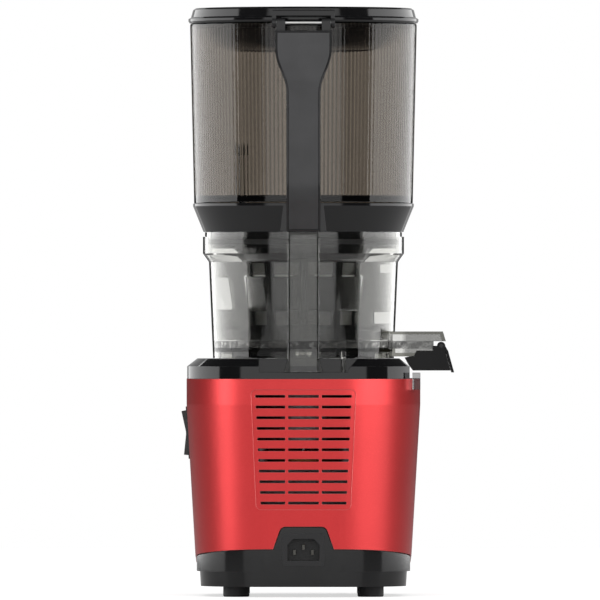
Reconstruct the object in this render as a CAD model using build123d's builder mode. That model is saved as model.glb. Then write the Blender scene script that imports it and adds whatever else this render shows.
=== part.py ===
from build123d import *

import os
from math import acos, atan, cos, degrees, radians, sin, sqrt, tan

# Cold press juicer, in millimetres. The origin is on the auger's axis, at the plane that the feet
# stand on. +Z is up, the front is -Y, the handle and the mains inlet are at the back (+Y), the
# juice spout is on the -X side and the rocker switch on the +X side.

# ------------------------------------------------------------------ driving dimensions
# Clearances
RUN = 0.05  # radial play of a shaft in its bush
GAP = 0.3  # air between pieces that come apart or pass each other

# Feet
FOOT_RADIUS = 10.25
FOOT_HEIGHT = 8.0
FOOT_WEB = 3.0
POST_X = 52.4
POST_Y = 55.0

# Casing of the base
SHELL_HALF_TOP = 91.4
SHELL_HALF_FOOT = 84.3
SHELL_CORNER = 64.0
SHELL_WALL = 2.2
SHELL_TOP = 170.0
SHELL_UPRIGHT_FROM = 150.0
SHELL_FOOT = 28.0
SHELL_EDGE_BACK = 37.4
SHELL_EDGE_TILT = 6.0

# Base pan
PAN_FLOOR = 3.0
PAN_INSET_FOOT = 4.0
PAN_INSET_STEP = 3.3
PAN_INSET_BAND = 0.8
PAN_STEP = 19.7
PAN_WALL = 2.4
PAN_LIP = 6.0
PAN_POST_RADIUS = 7.0
PAN_POST_TOP = 60.0
INTAKE_SLOTS = 7
INTAKE_SLOT_WIDTH = 3.0
INTAKE_SLOT_LENGTH = 52.0
INTAKE_PITCH = 8.0

# Vent grille at the back
VENT_ROWS = 11
VENT_TOP = 156.5
VENT_PITCH = 8.31
VENT_HEIGHT = 2.1
VENT_HALF_TOP = 37.6
VENT_HALF_BOTTOM = 33.4
VENT_BAR_X = 13.1
VENT_BAR = 2.3
VENT_PANEL_RISE = 5.2
VENT_PANEL_MARGIN = 3.4
VENT_PANEL_DEPTH = 0.6
VENT_PANEL_CORNER = 4.0

# Mains inlet (three-pin, 10 A appliance inlet)
INLET_Z = 37.0
INLET_FLANGE_WIDTH = 32.8
INLET_FLANGE_HEIGHT = 25.4
INLET_FLANGE = 1.5
INLET_BODY_WIDTH = 28.0
INLET_BODY_HEIGHT = 20.6
INLET_BODY_DEPTH = 20.0
INLET_CAVITY_WIDTH = 25.0
INLET_CAVITY_HEIGHT = 17.0
INLET_CAVITY_DEPTH = 17.0
INLET_CAVITY_CHAMFER = 4.5
INLET_PIN_PITCH = 14.0
INLET_PIN_RISE = 4.0
INLET_PIN_WIDTH = 2.0
INLET_PIN_HEIGHT = 4.0
NOTCH_HALF_BOTTOM = 23.75
NOTCH_HALF_TOP = 17.5
NOTCH_TOP = 55.0
NOTCH_CORNER = 5.0

# Rocker switch on the +X side
SWITCH_Z = 127.6
SWITCH_WIDTH = 22.0
SWITCH_LENGTH = 41.0
SWITCH_RIM = 2.2
SWITCH_PROUD = 1.0
SWITCH_DEPTH = 22.0
ROCKER_WIDTH = 16.0
ROCKER_RADIUS = 17.6
ROCKER_VALLEY = 1.8
ROCKER_RISE = 4.6
ROCKER_DROP = 6.0
ROCKER_AXLE_RADIUS = 2.0

# Top cap
CAP_INSET = 0.4
CAP_TOP = 185.7
CAP_CHAMFER_Z = 179.7
CAP_CHAMFER_IN = 7.8
CAP_THICK = 3.2
CAP_WALL = 3.0
CAP_LIP = 7.0
CAP_SPOUT_CUT = 82.9
CAP_NOTCH_HALF = 34.8
CAP_NOTCH_FLOOR = 175.1
CAP_NOTCH_FLARE = 8.0
CAP_NOTCH_FRONT = 61.5
CHUTE_CHANNEL_HALF = 14.5
CHUTE_CHANNEL_FLOOR = 175.1
TUB_WALL = 3.0
HUB_TOP = 188.2
HUB_OUTER = 16.0
HUB_BORE = 12.0
CLIP_INSET = 0.2
CLIP_DEPTH = 6.2
CLIP_Y = 53.0
CLIP_LENGTH = 9.0
CLIP_BOTTOM = 161.6
CLIP_TOP = 174.8

# Motor
STATOR_HALF = 40.0
STATOR_BOTTOM = 62.0
STATOR_TOP = 102.0
STATOR_BORE = 24.3
MOTOR_SCREW = 34.0
MOTOR_SCREW_RADIUS = 2.0
MOTOR_SCREW_HEAD = 3.6
MOTOR_SCREW_HEAD_HEIGHT = 3.0
COIL_INNER = 27.0
COIL_OUTER = 37.0
COIL_HEIGHT = 11.0
ROTOR_RADIUS = 24.0
ROTOR_RING = 2.0
SHAFT_RADIUS = 4.0
SHAFT_BOTTOM = 16.0
BEARING_RADIUS = 8.0
BEARING_HEIGHT = 7.0
BRACKET_BOTTOM = 42.0
BRACKET_PLATE = 4.0
FAN_RADIUS = 38.0
FAN_BOTTOM = 18.0
FAN_TOP = 33.0
FAN_PLATE = 1.8
FAN_BLADES = 9
FAN_HUB = 8.0

# Gearbox: two stages of 12 and 60 teeth on the same centre distance
GEAR_MODULE = 1.0
PINION_TEETH = 12
WHEEL_TEETH = 60
PRESSURE_ANGLE = 25.0
DEDENDUM = 1.25
BACKLASH = 0.16
GEARBOX_FLOOR = 116.0
GEARBOX_FLOOR_THICK = 5.0
GEARBOX_TOP = 158.0
GEARBOX_WALL = 3.0
GEARBOX_ROOM = 2.0
GEARBOX_PLATE_HALF = 42.0
COVER_THICK = 5.0
COVER_NECK_OUTER = 13.0
COVER_NECK_TOP = 179.0
FIRST_MESH_BOTTOM = 123.5
SECOND_MESH_BOTTOM = 142.0
WHEEL_THICK = 11.0
PINION_EXTRA = 1.5
COUNTERSHAFT_RADIUS = 4.0
OUTPUT_RADIUS = 8.0
OUTPUT_BUSH_OUTER = 10.5
BUSH_HEIGHT = 6.0
COUNTER_BUSH_OUTER = 7.0
MOUNT_EAR_X = 44.0
MOUNT_EAR_FRONT = 42.0
MOUNT_EAR_BACK = 8.0
MOUNT_EAR_RADIUS = 8.0
GROMMET_HEIGHT = 4.0
GROMMET_RADIUS = 7.0
CAP_POST_RADIUS = 6.0
SCREW_RADIUS = 1.8
SCREW_HEAD = 3.4
SCREW_HEAD_HEIGHT = 2.6
SOCKET_SHARE = 0.5
SOCKET_DEPTH_SHARE = 0.6

# Drive hexagon
HEX_ACROSS = 12.0
HEX_PLAY = 0.3
HEX_BOTTOM = 187.0
HEX_TOP = 208.0
SEAL_HEIGHT = 5.0

# Electrics
BOARD_Y = 63.0
BOARD_THICK = 1.6
BOARD_HALF = 34.0
BOARD_BOTTOM = 48.0
BOARD_HEIGHT = 52.0
CAPACITOR_X = 58.0
CAPACITOR_Y = 20.0
CAPACITOR_RADIUS = 14.0
CAPACITOR_HEIGHT = 52.0
CAPACITOR_CUP = 12.0
CAPACITOR_CUP_WALL = 1.6
SENSOR_SIZE = 14.0
SENSOR_HEIGHT = 6.0
SENSOR_Y = 80.0

# Juicing bowl
BOWL_BOTTOM = 186.0
BOWL_FLOOR = 191.0
BOWL_FLOOR_THICK = 3.0
BOWL_RADIUS_BOTTOM = 70.9
BOWL_RADIUS_TOP = 74.1
BOWL_WALL = 2.6
BOWL_SHOULDER = 261.3
BOWL_RIM_RADIUS = 78.8
BOWL_RIM_BOTTOM = 268.0
BOWL_RIM_TOP = 281.0
BOWL_NECK_RADIUS = 77.2
BOWL_TOP = 284.5
BOWL_HUB_OUTER = 12.5
BOWL_HUB_BORE = 8.6
BOWL_HUB_TOP = 200.2
BOWL_RIBS = 12
RIB_THICK = 1.6
COLUMN_HALF = 12.4
COLUMN_WALL = 2.2
COLUMN_CORNER = 2.4
COLUMN_BACK = 92.0
COLUMN_FRONT = 68.0
COLUMN_FOOT = 175.5
COLUMN_FOOT_HALF = 15.0
COLUMN_FOOT_RISE = 9.0
MAGNET_BOTTOM = 176.0
MAGNET_Y = 83.5
MAGNET_WIDTH = 5.0
MAGNET_HEIGHT = 4.0
PEG_X = -31.0
PEG_Y = 64.2
PEG_RADIUS = 2.0
SEAL_RING_OUTER = 10.8
SEAL_RING_INNER = 7.8
SEAL_RING_HEIGHT = 2.6

# Juice spout, nozzle and drip flap
SPOUT_HALF = 15.0
SPOUT_WALL = 2.2
SPOUT_BOTTOM = 187.3
SPOUT_HEIGHT = 19.5
SPOUT_FLOOR = 2.7
SPOUT_END = 102.0
HOOD_DEPTH = 7.6
HOOD_END_TOP = 109.2
HOOD_END_BOTTOM = 111.5
NOZZLE_HALF = 17.4
NOZZLE_WALL = 2.0
NOZZLE_DROP = 11.0
NOZZLE_BACK = 79.3
NOZZLE_BACK_DROP = 0.9
NOZZLE_SADDLE = 86.8
NOZZLE_SADDLE_RISE = 0.6
NOZZLE_COLLAR = 88.8
NOZZLE_COLLAR_RISE = 4.5
NOZZLE_EAR_BACK = 101.3
NOZZLE_HEEL = 82.3
NOZZLE_HEEL_RISE = 4.6
NOZZLE_FOOT = 85.8
NOZZLE_THROAT_BACK = 82.5
NOZZLE_THROAT_DROP = 3.0
NOZZLE_THROAT_FOOT = 88.0
FLAP_PIN_X = 108.0
FLAP_PIN_DROP = 3.6
FLAP_PIN_RADIUS = 1.5
FLAP_EAR_RADIUS = 3.1
FLAP_THICK = 2.0
FLAP_LUG = 3.0
FLAP_LINE_X = 112.2
FLAP_LEAN = 15.6
FLAP_DROP = 1.5

# Pulp chute under the bowl
PULP_Y = 33.0
PULP_BORE = 7.5
PULP_TUBE_TOP = 207.4
CHUTE_HALF = 12.5
CHUTE_WALL = 2.4
CHUTE_BOTTOM = 177.2
CHUTE_FRONT = 98.0
CHUTE_BACK = 22.0
PLUG_RADIUS = 8.0
PLUG_HEAD = 1.6

# Bowl gear train: auger gear, idler and the brush cage's ring gear
BOWL_MODULE = 1.75
AUGER_TEETH = 18
RING_TEETH = 54
RING_ADDENDUM = 0.8
RING_OUTER = 52.5
BOWL_GEAR_BOTTOM = 200.5
BOWL_GEAR_TOP = 207.0
BOWL_BACKLASH = 0.24
IDLER_PIN_RADIUS = 3.0
RING_SEAT_INNER = 50.3
STRAINER_POST_RADIUS = 3.0
STRAINER_POST_R = 38.5
STRAINER_POST_ANGLES = (110, 180, 225, 315)

# Strainer
STRAINER_BOTTOM = 208.0
STRAINER_TOP = 263.5
STRAINER_R_BOTTOM = 42.5
STRAINER_R_TOP = 46.4
STRAINER_WALL = 2.2
STRAINER_FLOOR = 3.0
STRAINER_BORE = 19.4
STRAINER_WINDOWS = 10
WINDOW_ANGLE = 13.0
UPPER_WINDOW = (249.8, 260.6)
LOWER_WINDOW = (212.0, 222.8)
MESH_THICK = 0.5

# Brush cage
CAGE_OUTER = 68.2
CAGE_WALL = 2.3
CAGE_TOP = 262.0
CAGE_DISC = 2.5
CAGE_INNER = 46.5
CAGE_SKIRT_OUTER = 67.4
CAGE_SKIRT_BOTTOM = 200.2
CAGE_DRAINS = 6
CAGE_DRAIN_ANGLE = 20.0
CARRIER_ANGLES = (90, 270)
# wide windows beside each carrier: heights, half width at the bottom and at the top
CAGE_WIDE_WINDOW = (223.0, 251.0)
CAGE_WIDE_REACH = (43.5, 47.4)
CAGE_CARRIER_POST = 8.0
# side window: heights, where it starts at the bottom and at the top
CAGE_SIDE_WINDOW = (224.0, 249.0)
CAGE_SIDE_START = (54.5, 58.0)
CAGE_WINDOW_CORNER = 1.5
# slots in the side opposite the side window
CAGE_SLOT_SIDE = 180.0
CAGE_HIGH_SLOT = (252.7, 259.4)
CAGE_HIGH_SLOT_ANGLE = 30.0
CAGE_LOW_SLOT = (213.0, 222.0)
CAGE_LOW_SLOT_ANGLE = 37.0
CARRIER_WIDTH = 8.0
CARRIER_INNER = 59.0
WIPER_THICK = 2.4
WIPER_BOTTOM = 213.0
WIPER_TOP = 256.0
WIPER_PLAY = 0.6

# Auger
AUGER_COLLAR = 19.0
AUGER_CORE_BOTTOM = 23.5
AUGER_CORE_TOP = 15.0
AUGER_TOP = 268.0
AUGER_PLAY = 0.9
FLIGHT_PITCH = 25.0
FLIGHT_THICK = 4.5
FLIGHT_INNER = 13.0
FLIGHT_START_ANGLE = 17.0
FLIGHT_BOTTOM = 212.5
FLIGHT_TOP = 264.0
INSERT_RADIUS = 10.5
INSERT_TOP = 211.0
SPINDLE_ACROSS = 14.0
SPINDLE_TOP = 284.0

# Cutting wing in the hopper
WING_HUB = 16.0
WING_HUB_TOP = 300.0
WING_OUT = 50.8
WING_IN = 46.0
WING_TIP = 354.0
WING_BLADE_TOP = 344.4
WING_BLADE_BOTTOM = 312.4
WING_ARM_WIDTH = 14.0
WING_ARM_BOTTOM = 280.0
WING_ARM_TOP = 296.0
WING_FOOT = 275.0
WING_BLADE_THICK = 1.5

# Hopper
RING_BOTTOM = 284.8
RING_TOP = 307.0
RING_R_BOTTOM = 78.4
RING_R_TOP = 86.6
RING_CONE_TOP = 305.0
NECK_RADIUS = 72.5
NECK_WALL = 2.6
NECK_BOTTOM = 272.0
THROAT_RADIUS = 44.5
THROAT_BOTTOM = 264.0
THROAT_LIP = 3.7
FUNNEL_BOTTOM = 266.0
FUNNEL_TOP = 300.0
FUNNEL_R_TOP = 80.6
FUNNEL_THICK = 3.8
SEAT_RADIUS = 83.2
GASKET_BOTTOM = 275.0
GASKET_HEIGHT = 4.0
WALL_R_BOTTOM = 85.7
WALL_R_TOP = 88.85
WALL_TOP = 448.0
WALL_THICK = 2.6
WALL_FOOT_TOP = 309.6
BOSS_HALF_TOP = 15.5
BOSS_HALF_BOTTOM = 18.0
BOSS_BACK = 93.0
RIM_BOSS_HALF = 12.0
RIM_BOSS_BACK = 97.0
RIM_BOSS_BOTTOM = 425.0
RIM_BOSS_TOP = 437.0

# Handle
HANDLE_BACK = 126.0
HANDLE_THICK = 11.0
HANDLE_NECK_HALF = 13.2
HANDLE_HEAD_HALF = 22.0
HANDLE_TOP = 441.0
HANDLE_HEAD_BOTTOM = 423.5
HANDLE_NECK_TOP = 391.0
HANDLE_HEAD_FROM = 427.0
HANDLE_TOP_BACK = 108.0
HANDLE_LEG_TOP = 303.0
HANDLE_FOOT_BACK = 102.0
HANDLE_BEND_LOW = 314.0
HANDLE_BEND_HIGH = 407.0
HANDLE_BEND_RADIUS = 24.0
COVER_INSET = 1.8
COVER_DEPTH = 2.2
COVER_LINE = 0.3
HANDLE_SCREW = 1.5
HANDLE_SCREW_HEAD = 3.2
HANDLE_SCREW_HEAD_HEIGHT = 2.4
HANDLE_SCREW_KEY = 2.5
HANDLE_SCREW_KEY_DEPTH = 1.4
HANDLE_SCREW_GRIP = 7.0
RIM_SCREW_X = 8.0
RIM_SCREW_Z = 431.0
HEAD_SCREW_SEAT = 101.0
FOOT_SCREW_SEAT = 97.0
FOOT_SCREWS_Z = (291.0, 298.5)

# Lid and its hinge
PIN_Y = 97.0
PIN_Z = 447.0
PIN_RADIUS = 1.7
KNUCKLE_IN = 14.2
KNUCKLE_OUT = 21.0
KNUCKLE_RADIUS = 4.0
LUG_OUT = 24.4
LID_BOTTOM = 448.3
LID_BEAD_BOTTOM = 448.7
LID_BEAD_TOP = 452.6
LID_BEAD_RADIUS = 90.2
LID_RADIUS = 88.2
LID_EDGE_Z = 458.6
LID_EDGE_RADIUS = 86.6
LID_TOP = 460.0
LID_TOP_RADIUS = 84.6
LID_THICK = 2.4
LID_SKIRT_INNER = 84.4
LINER_RADIUS = 84.0
LINER_FLANGE = 446.2
LINER_DEPTH = 427.0
LINER_FLAT = 40.0
LINER_SHOULDER = 79.0
LINER_WALL = 2.0
SEAL_BOTTOM = 444.0
LID_TAB_BOTTOM = 451.6
LID_TAB_TOP = 457.3
LID_TAB_BACK = 99.0
FINGER_TAB_HALF = 16.0
FINGER_TAB_FRONT = 96.0

# ------------------------------------------------------------------ values worked out from them
PAN_BOTTOM = FOOT_HEIGHT
PAN_INSIDE = PAN_BOTTOM + PAN_FLOOR
CENTRE_DISTANCE = GEAR_MODULE * (PINION_TEETH + WHEEL_TEETH) / 2
IDLER_CENTRE = BOWL_MODULE * AUGER_TEETH
RING_PITCH_RADIUS = BOWL_MODULE * RING_TEETH / 2
PAN_HALF_FOOT = SHELL_HALF_FOOT - PAN_INSET_FOOT
PAN_HALF_STEP = SHELL_HALF_FOOT - PAN_INSET_STEP
PAN_HALF_BAND = SHELL_HALF_FOOT - PAN_INSET_BAND
CAP_HALF = SHELL_HALF_TOP - CAP_INSET
CAP_UNDERSIDE = CAP_TOP - CAP_THICK
CLIP_HALF_OUT = SHELL_HALF_TOP - CLIP_INSET
CLIP_HALF_IN = CLIP_HALF_OUT - CLIP_DEPTH
COVER_TOP = GEARBOX_TOP + COVER_THICK
BOWL_INSIDE = BOWL_FLOOR + BOWL_FLOOR_THICK
SPOUT_TOP = SPOUT_BOTTOM + SPOUT_HEIGHT
SPOUT_INNER_BOTTOM = SPOUT_BOTTOM + SPOUT_FLOOR
HOOD_BOTTOM = SPOUT_TOP - HOOD_DEPTH
NOZZLE_BOTTOM = SPOUT_BOTTOM - NOZZLE_DROP
FLAP_PIN_Z = HOOD_BOTTOM - FLAP_PIN_DROP
FLAP_TIP = NOZZLE_BOTTOM - FLAP_DROP
POSTS = [(x, y) for x in (-POST_X, POST_X) for y in (-POST_Y, POST_Y)]
MOTOR_SCREWS = [(x, y) for x in (-MOTOR_SCREW, MOTOR_SCREW) for y in (-MOTOR_SCREW, MOTOR_SCREW)]
MOUNT_EARS = [(x, y) for x in (-MOUNT_EAR_X, MOUNT_EAR_X) for y in (-MOUNT_EAR_FRONT, MOUNT_EAR_BACK)]

os.makedirs("parts", exist_ok=True)


# ------------------------------------------------------------------ shared shapes
def shell_half(z):
    """Half width of the casing's outside at a height: straight at the top, tapered below."""
    slope = (SHELL_HALF_TOP - SHELL_HALF_FOOT) / (SHELL_UPRIGHT_FROM - SHELL_FOOT)
    return SHELL_HALF_TOP - slope * max(0.0, SHELL_UPRIGHT_FROM - z)


def rounded_plan(z, half, y_back=None):
    """Rounded square plan at a height; its corners stay concentric with the casing's."""
    corner = SHELL_CORNER - (SHELL_HALF_TOP - half)
    back = half if y_back is None else y_back
    with BuildSketch(Plane((0, (back - half) / 2, z))) as plan:
        RectangleRounded(2 * half, half + back, corner)
    return plan.sketch


def casing_body(inset, bottom, top):
    """Solid inside the casing's outer face, moved in by an inset."""
    upright = min(max(SHELL_UPRIGHT_FROM, bottom), top)
    with BuildPart() as body:
        if bottom < upright:
            low = rounded_plan(bottom, shell_half(bottom) - inset)
            loft([low, rounded_plan(upright, shell_half(upright) - inset)])
        if upright < top:
            extrude(rounded_plan(upright, SHELL_HALF_TOP - inset), amount=top - upright)
    return body.part


def turned(*points):
    """Half section in the XZ plane, from (radius, height) corners, to be revolved about Z."""
    with BuildSketch(Plane.XZ) as section:
        with BuildLine():
            Polyline(*points, close=True)
        make_face()
    return section.sketch


def tube(outer, inner, bottom, top, x=0.0, y=0.0):
    """Round tube, or a rod where the inner radius is 0."""
    with BuildPart() as piece:
        with BuildSketch(Plane((x, y, bottom))):
            Circle(outer)
            if inner > 0:
                Circle(inner, mode=Mode.SUBTRACT)
        extrude(amount=top - bottom)
    return piece.part


def wedge(middle, half_angle, bottom, top, reach=100.0):
    """Wedge about the Z axis, for cutting windows in round walls."""
    start = radians(middle - half_angle)
    end = radians(middle + half_angle)
    with BuildPart() as piece:
        with BuildSketch(Plane.XY.offset(bottom)):
            with BuildLine():
                near = (reach * cos(start), reach * sin(start))
                far = (reach * cos(end), reach * sin(end))
                Polyline((0, 0), near, far, close=True)
            make_face()
        extrude(amount=top - bottom)
    return piece.part


def involute(angle):
    """Involute of an angle in radians."""
    return tan(angle) - angle


def gear_plan(plane, module, teeth, root, tip, backlash, phase=0.0):
    """Spur gear outline with involute flanks; the first tooth's middle stands at phase degrees."""
    pitch = module * teeth / 2
    base = pitch * cos(radians(PRESSURE_ANGLE))
    foot = max(root, base)
    pitch_half = 90.0 / teeth - degrees(backlash / 4 / pitch)

    def point(radius, angle):
        return (radius * cos(radians(angle)), radius * sin(radians(angle)))

    def half_angle(radius):
        turn = involute(radians(PRESSURE_ANGLE)) - involute(acos(min(1.0, base / radius)))
        return pitch_half + degrees(turn)

    middle = (foot + tip) / 2
    step = 360.0 / teeth
    with BuildSketch(plane) as outline:
        with BuildLine():
            for index in range(teeth):
                at = phase + index * step
                if root < foot:
                    Line(point(root, at - half_angle(foot)), point(foot, at - half_angle(foot)))
                ThreePointArc(
                    point(foot, at - half_angle(foot)),
                    point(middle, at - half_angle(middle)),
                    point(tip, at - half_angle(tip)),
                )
                ThreePointArc(
                    point(tip, at - half_angle(tip)),
                    point(tip, at),
                    point(tip, at + half_angle(tip)),
                )
                ThreePointArc(
                    point(tip, at + half_angle(tip)),
                    point(middle, at + half_angle(middle)),
                    point(foot, at + half_angle(foot)),
                )
                if root < foot:
                    Line(point(foot, at + half_angle(foot)), point(root, at + half_angle(foot)))
                ThreePointArc(
                    point(root, at + half_angle(foot)),
                    point(root, at + step / 2),
                    point(root, at + step - half_angle(foot)),
                )
        make_face()
    return outline.sketch


def spur_gear(module, teeth, bottom, thick, x=0.0, y=0.0, phase=0.0, backlash=BACKLASH):
    """Solid spur gear with its axis along Z."""
    pitch = module * teeth / 2
    root = pitch - DEDENDUM * module
    plan = gear_plan(Plane((x, y, bottom)), module, teeth, root, pitch + module, backlash, phase)
    with BuildPart() as gear:
        extrude(plan, amount=thick)
    return gear.part


def screws(
    places,
    head_bottom,
    shank_top,
    radius=SCREW_RADIUS,
    head=SCREW_HEAD,
    head_height=SCREW_HEAD_HEIGHT,
):
    """Group of upright screws, heads down, with a hexagon socket in each head."""
    with BuildPart() as group:
        with BuildSketch(Plane.XY.offset(head_bottom)):
            with Locations(*places):
                Circle(head)
        extrude(amount=head_height)
        with BuildSketch(Plane.XY.offset(head_bottom + head_height)):
            with Locations(*places):
                Circle(radius)
        extrude(amount=shank_top - head_bottom - head_height)
        with BuildSketch(Plane.XY.offset(head_bottom)):
            with Locations(*places):
                RegularPolygon(head * SOCKET_SHARE, 6)
        extrude(amount=head_height * SOCKET_DEPTH_SHARE, mode=Mode.SUBTRACT)
    return group.part


# ------------------------------------------------------------------ base: feet and pan
with BuildPart() as rubber_feet:
    with BuildSketch():
        with Locations(*POSTS):
            Circle(FOOT_RADIUS)
    extrude(amount=FOOT_HEIGHT)
    chamfer(rubber_feet.edges().group_by(Axis.Z)[0], length=0.8)
    with BuildSketch():
        with Locations(*POSTS):
            Circle(SCREW_HEAD + 1.0)
    extrude(amount=FOOT_HEIGHT - FOOT_WEB, mode=Mode.SUBTRACT)
    with BuildSketch(Plane.XY.offset(FOOT_HEIGHT - FOOT_WEB)):
        with Locations(*POSTS):
            Circle(SCREW_RADIUS + RUN)
    extrude(amount=FOOT_WEB, mode=Mode.SUBTRACT)
rubber_feet.part.label = "rubber_feet"
export_step(rubber_feet.part, "parts/rubber_feet.step")

# The casing's lower edge slopes down from back to front; the pan's band follows it.
edge_back_y = shell_half(SHELL_EDGE_BACK)
edge_normal = (0, -sin(radians(SHELL_EDGE_TILT)), cos(radians(SHELL_EDGE_TILT)))
shell_edge_plane = Plane((0, edge_back_y, SHELL_EDGE_BACK), x_dir=(1, 0, 0), z_dir=edge_normal)
casing_low = PAN_STEP - 6.0
neck_half = shell_half(PAN_STEP) - SHELL_WALL - GAP


def notch_face(plane, inset):
    """Outline of the casing's rear notch, or of the pan's tower that stands in it."""
    half_bottom = NOTCH_HALF_BOTTOM - inset
    half_top = NOTCH_HALF_TOP - inset
    top = NOTCH_TOP - inset
    slope = (NOTCH_HALF_BOTTOM - NOTCH_HALF_TOP) / (NOTCH_TOP - SHELL_EDGE_BACK)
    low = PAN_STEP + 1.0
    half_low = half_bottom + slope * (SHELL_EDGE_BACK - low)
    with BuildSketch(plane) as face:
        with BuildLine():
            Polyline((-half_low, low), (-half_top, top), (half_top, top), (half_low, low), close=True)
        make_face()
        fillet(face.vertices().group_by(Axis.Y)[-1], radius=NOTCH_CORNER - inset)
    return face.sketch


with BuildPart() as pan_band:
    extrude(rounded_plan(PAN_STEP, PAN_HALF_BAND), amount=NOTCH_TOP)
    split(bisect_by=shell_edge_plane.offset(-0.6), keep=Keep.BOTTOM)

with BuildPart() as pan_neck:
    extrude(rounded_plan(PAN_STEP, neck_half), amount=NOTCH_TOP)
    split(bisect_by=shell_edge_plane.offset(PAN_LIP), keep=Keep.BOTTOM)

with BuildPart() as base_pan:
    pan_foot_plan = rounded_plan(PAN_BOTTOM, PAN_HALF_FOOT, PAN_HALF_BAND)
    pan_step_plan = rounded_plan(PAN_STEP, PAN_HALF_STEP, PAN_HALF_BAND)
    loft([pan_foot_plan, pan_step_plan])
    add(pan_band.part)
    add(pan_neck.part)
    extrude(rounded_plan(PAN_INSIDE, PAN_HALF_FOOT - PAN_WALL), amount=NOTCH_TOP, mode=Mode.SUBTRACT)
    # tower that fills the casing's rear notch and carries the mains inlet
    extrude(notch_face(Plane.XZ.offset(-PAN_HALF_BAND), 0.5), amount=PAN_HALF_BAND - PAN_HALF_FOOT + PAN_WALL)
    # screw posts
    with BuildSketch(Plane.XY.offset(PAN_INSIDE)):
        with Locations(*POSTS):
            Circle(PAN_POST_RADIUS)
    extrude(amount=PAN_POST_TOP - PAN_INSIDE)
    with BuildSketch(Plane.XY.offset(PAN_BOTTOM)):
        with Locations(*POSTS):
            Circle(SCREW_RADIUS + RUN)
    extrude(amount=PAN_POST_TOP, mode=Mode.SUBTRACT)
    # upright posts with grooves that hold the control board
    with BuildSketch(Plane.XY.offset(PAN_INSIDE)):
        with Locations((-BOARD_HALF, -BOARD_Y), (BOARD_HALF, -BOARD_Y)):
            Rectangle(6, 8)
    extrude(amount=BOARD_BOTTOM + 10 - PAN_INSIDE)
    with BuildSketch(Plane.XY.offset(BOARD_BOTTOM)):
        with Locations((0, -BOARD_Y)):
            Rectangle(2 * BOARD_HALF, BOARD_THICK)
    extrude(amount=BOARD_HEIGHT, mode=Mode.SUBTRACT)
    # cup for the run capacitor
    cup_outer = CAPACITOR_RADIUS + CAPACITOR_CUP_WALL
    cup_top = PAN_INSIDE + CAPACITOR_CUP
    add(tube(cup_outer, CAPACITOR_RADIUS, PAN_INSIDE, cup_top, -CAPACITOR_X, CAPACITOR_Y))
    # air intake under the fan
    with BuildSketch(Plane.XY.offset(PAN_BOTTOM)):
        with GridLocations(INTAKE_PITCH, 1, INTAKE_SLOTS, 1):
            SlotOverall(INTAKE_SLOT_LENGTH, INTAKE_SLOT_WIDTH, rotation=90)
    extrude(amount=PAN_FLOOR, mode=Mode.SUBTRACT)
    # opening for the inlet's body
    with BuildSketch(Plane.XZ.offset(-PAN_HALF_BAND)):
        with Locations((0, INLET_Z)):
            Rectangle(INLET_BODY_WIDTH + 0.4, INLET_BODY_HEIGHT + 0.4)
    extrude(amount=INLET_BODY_DEPTH, mode=Mode.SUBTRACT)
base_pan.part.label = "base_pan"
export_step(base_pan.part, "parts/base_pan.step")

with BuildPart() as base_screws:
    add(screws(POSTS, FOOT_HEIGHT - FOOT_WEB - SCREW_HEAD_HEIGHT, PAN_POST_TOP + 15))
base_screws.part.label = "base_screws"
export_step(base_screws.part, "parts/base_screws.step")

# ------------------------------------------------------------------ base: mains inlet
with BuildPart() as power_inlet:
    with BuildSketch(Plane.XZ.offset(-(PAN_HALF_BAND + INLET_FLANGE))):
        with Locations((0, INLET_Z)):
            RectangleRounded(INLET_FLANGE_WIDTH, INLET_FLANGE_HEIGHT, 2.4)
    extrude(amount=INLET_FLANGE)
    with BuildSketch(Plane.XZ.offset(-PAN_HALF_BAND)):
        with Locations((0, INLET_Z)):
            Rectangle(INLET_BODY_WIDTH, INLET_BODY_HEIGHT)
    extrude(amount=INLET_BODY_DEPTH)
    with BuildSketch(Plane.XZ.offset(-(PAN_HALF_BAND + INLET_FLANGE))) as cavity:
        with Locations((0, INLET_Z)):
            Rectangle(INLET_CAVITY_WIDTH, INLET_CAVITY_HEIGHT)
        chamfer(cavity.vertices().group_by(Axis.Y)[-1], length=INLET_CAVITY_CHAMFER)
    extrude(amount=INLET_CAVITY_DEPTH, mode=Mode.SUBTRACT)
    with BuildSketch(Plane.XZ.offset(-PAN_HALF_BAND)) as pin_slots:
        with Locations((0, INLET_Z + INLET_PIN_RISE / 2)):
            Rectangle(INLET_PIN_WIDTH, INLET_PIN_HEIGHT)
        with Locations(
            (-INLET_PIN_PITCH / 2, INLET_Z - INLET_PIN_RISE / 2),
            (INLET_PIN_PITCH / 2, INLET_Z - INLET_PIN_RISE / 2),
        ):
            Rectangle(INLET_PIN_WIDTH, INLET_PIN_HEIGHT)
    extrude(amount=INLET_BODY_DEPTH, mode=Mode.SUBTRACT)
power_inlet.part.label = "power_inlet"
export_step(power_inlet.part, "parts/power_inlet.step")

with BuildPart() as inlet_pins:
    extrude(pin_slots.sketch, amount=INLET_BODY_DEPTH + 6)
inlet_pins.part.label = "inlet_pins"
export_step(inlet_pins.part, "parts/inlet_pins.step")

# ------------------------------------------------------------------ base: casing and its grille
vent_bottom = VENT_TOP - (VENT_ROWS - 1) * VENT_PITCH
vent_lean = (VENT_HALF_TOP - VENT_HALF_BOTTOM) / (VENT_TOP - vent_bottom)
casing_outer = casing_body(0, casing_low, SHELL_TOP)
casing_inner = casing_body(SHELL_WALL, casing_low, SHELL_TOP)
panel_floor = casing_body(VENT_PANEL_DEPTH, casing_low, SHELL_TOP)

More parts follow.
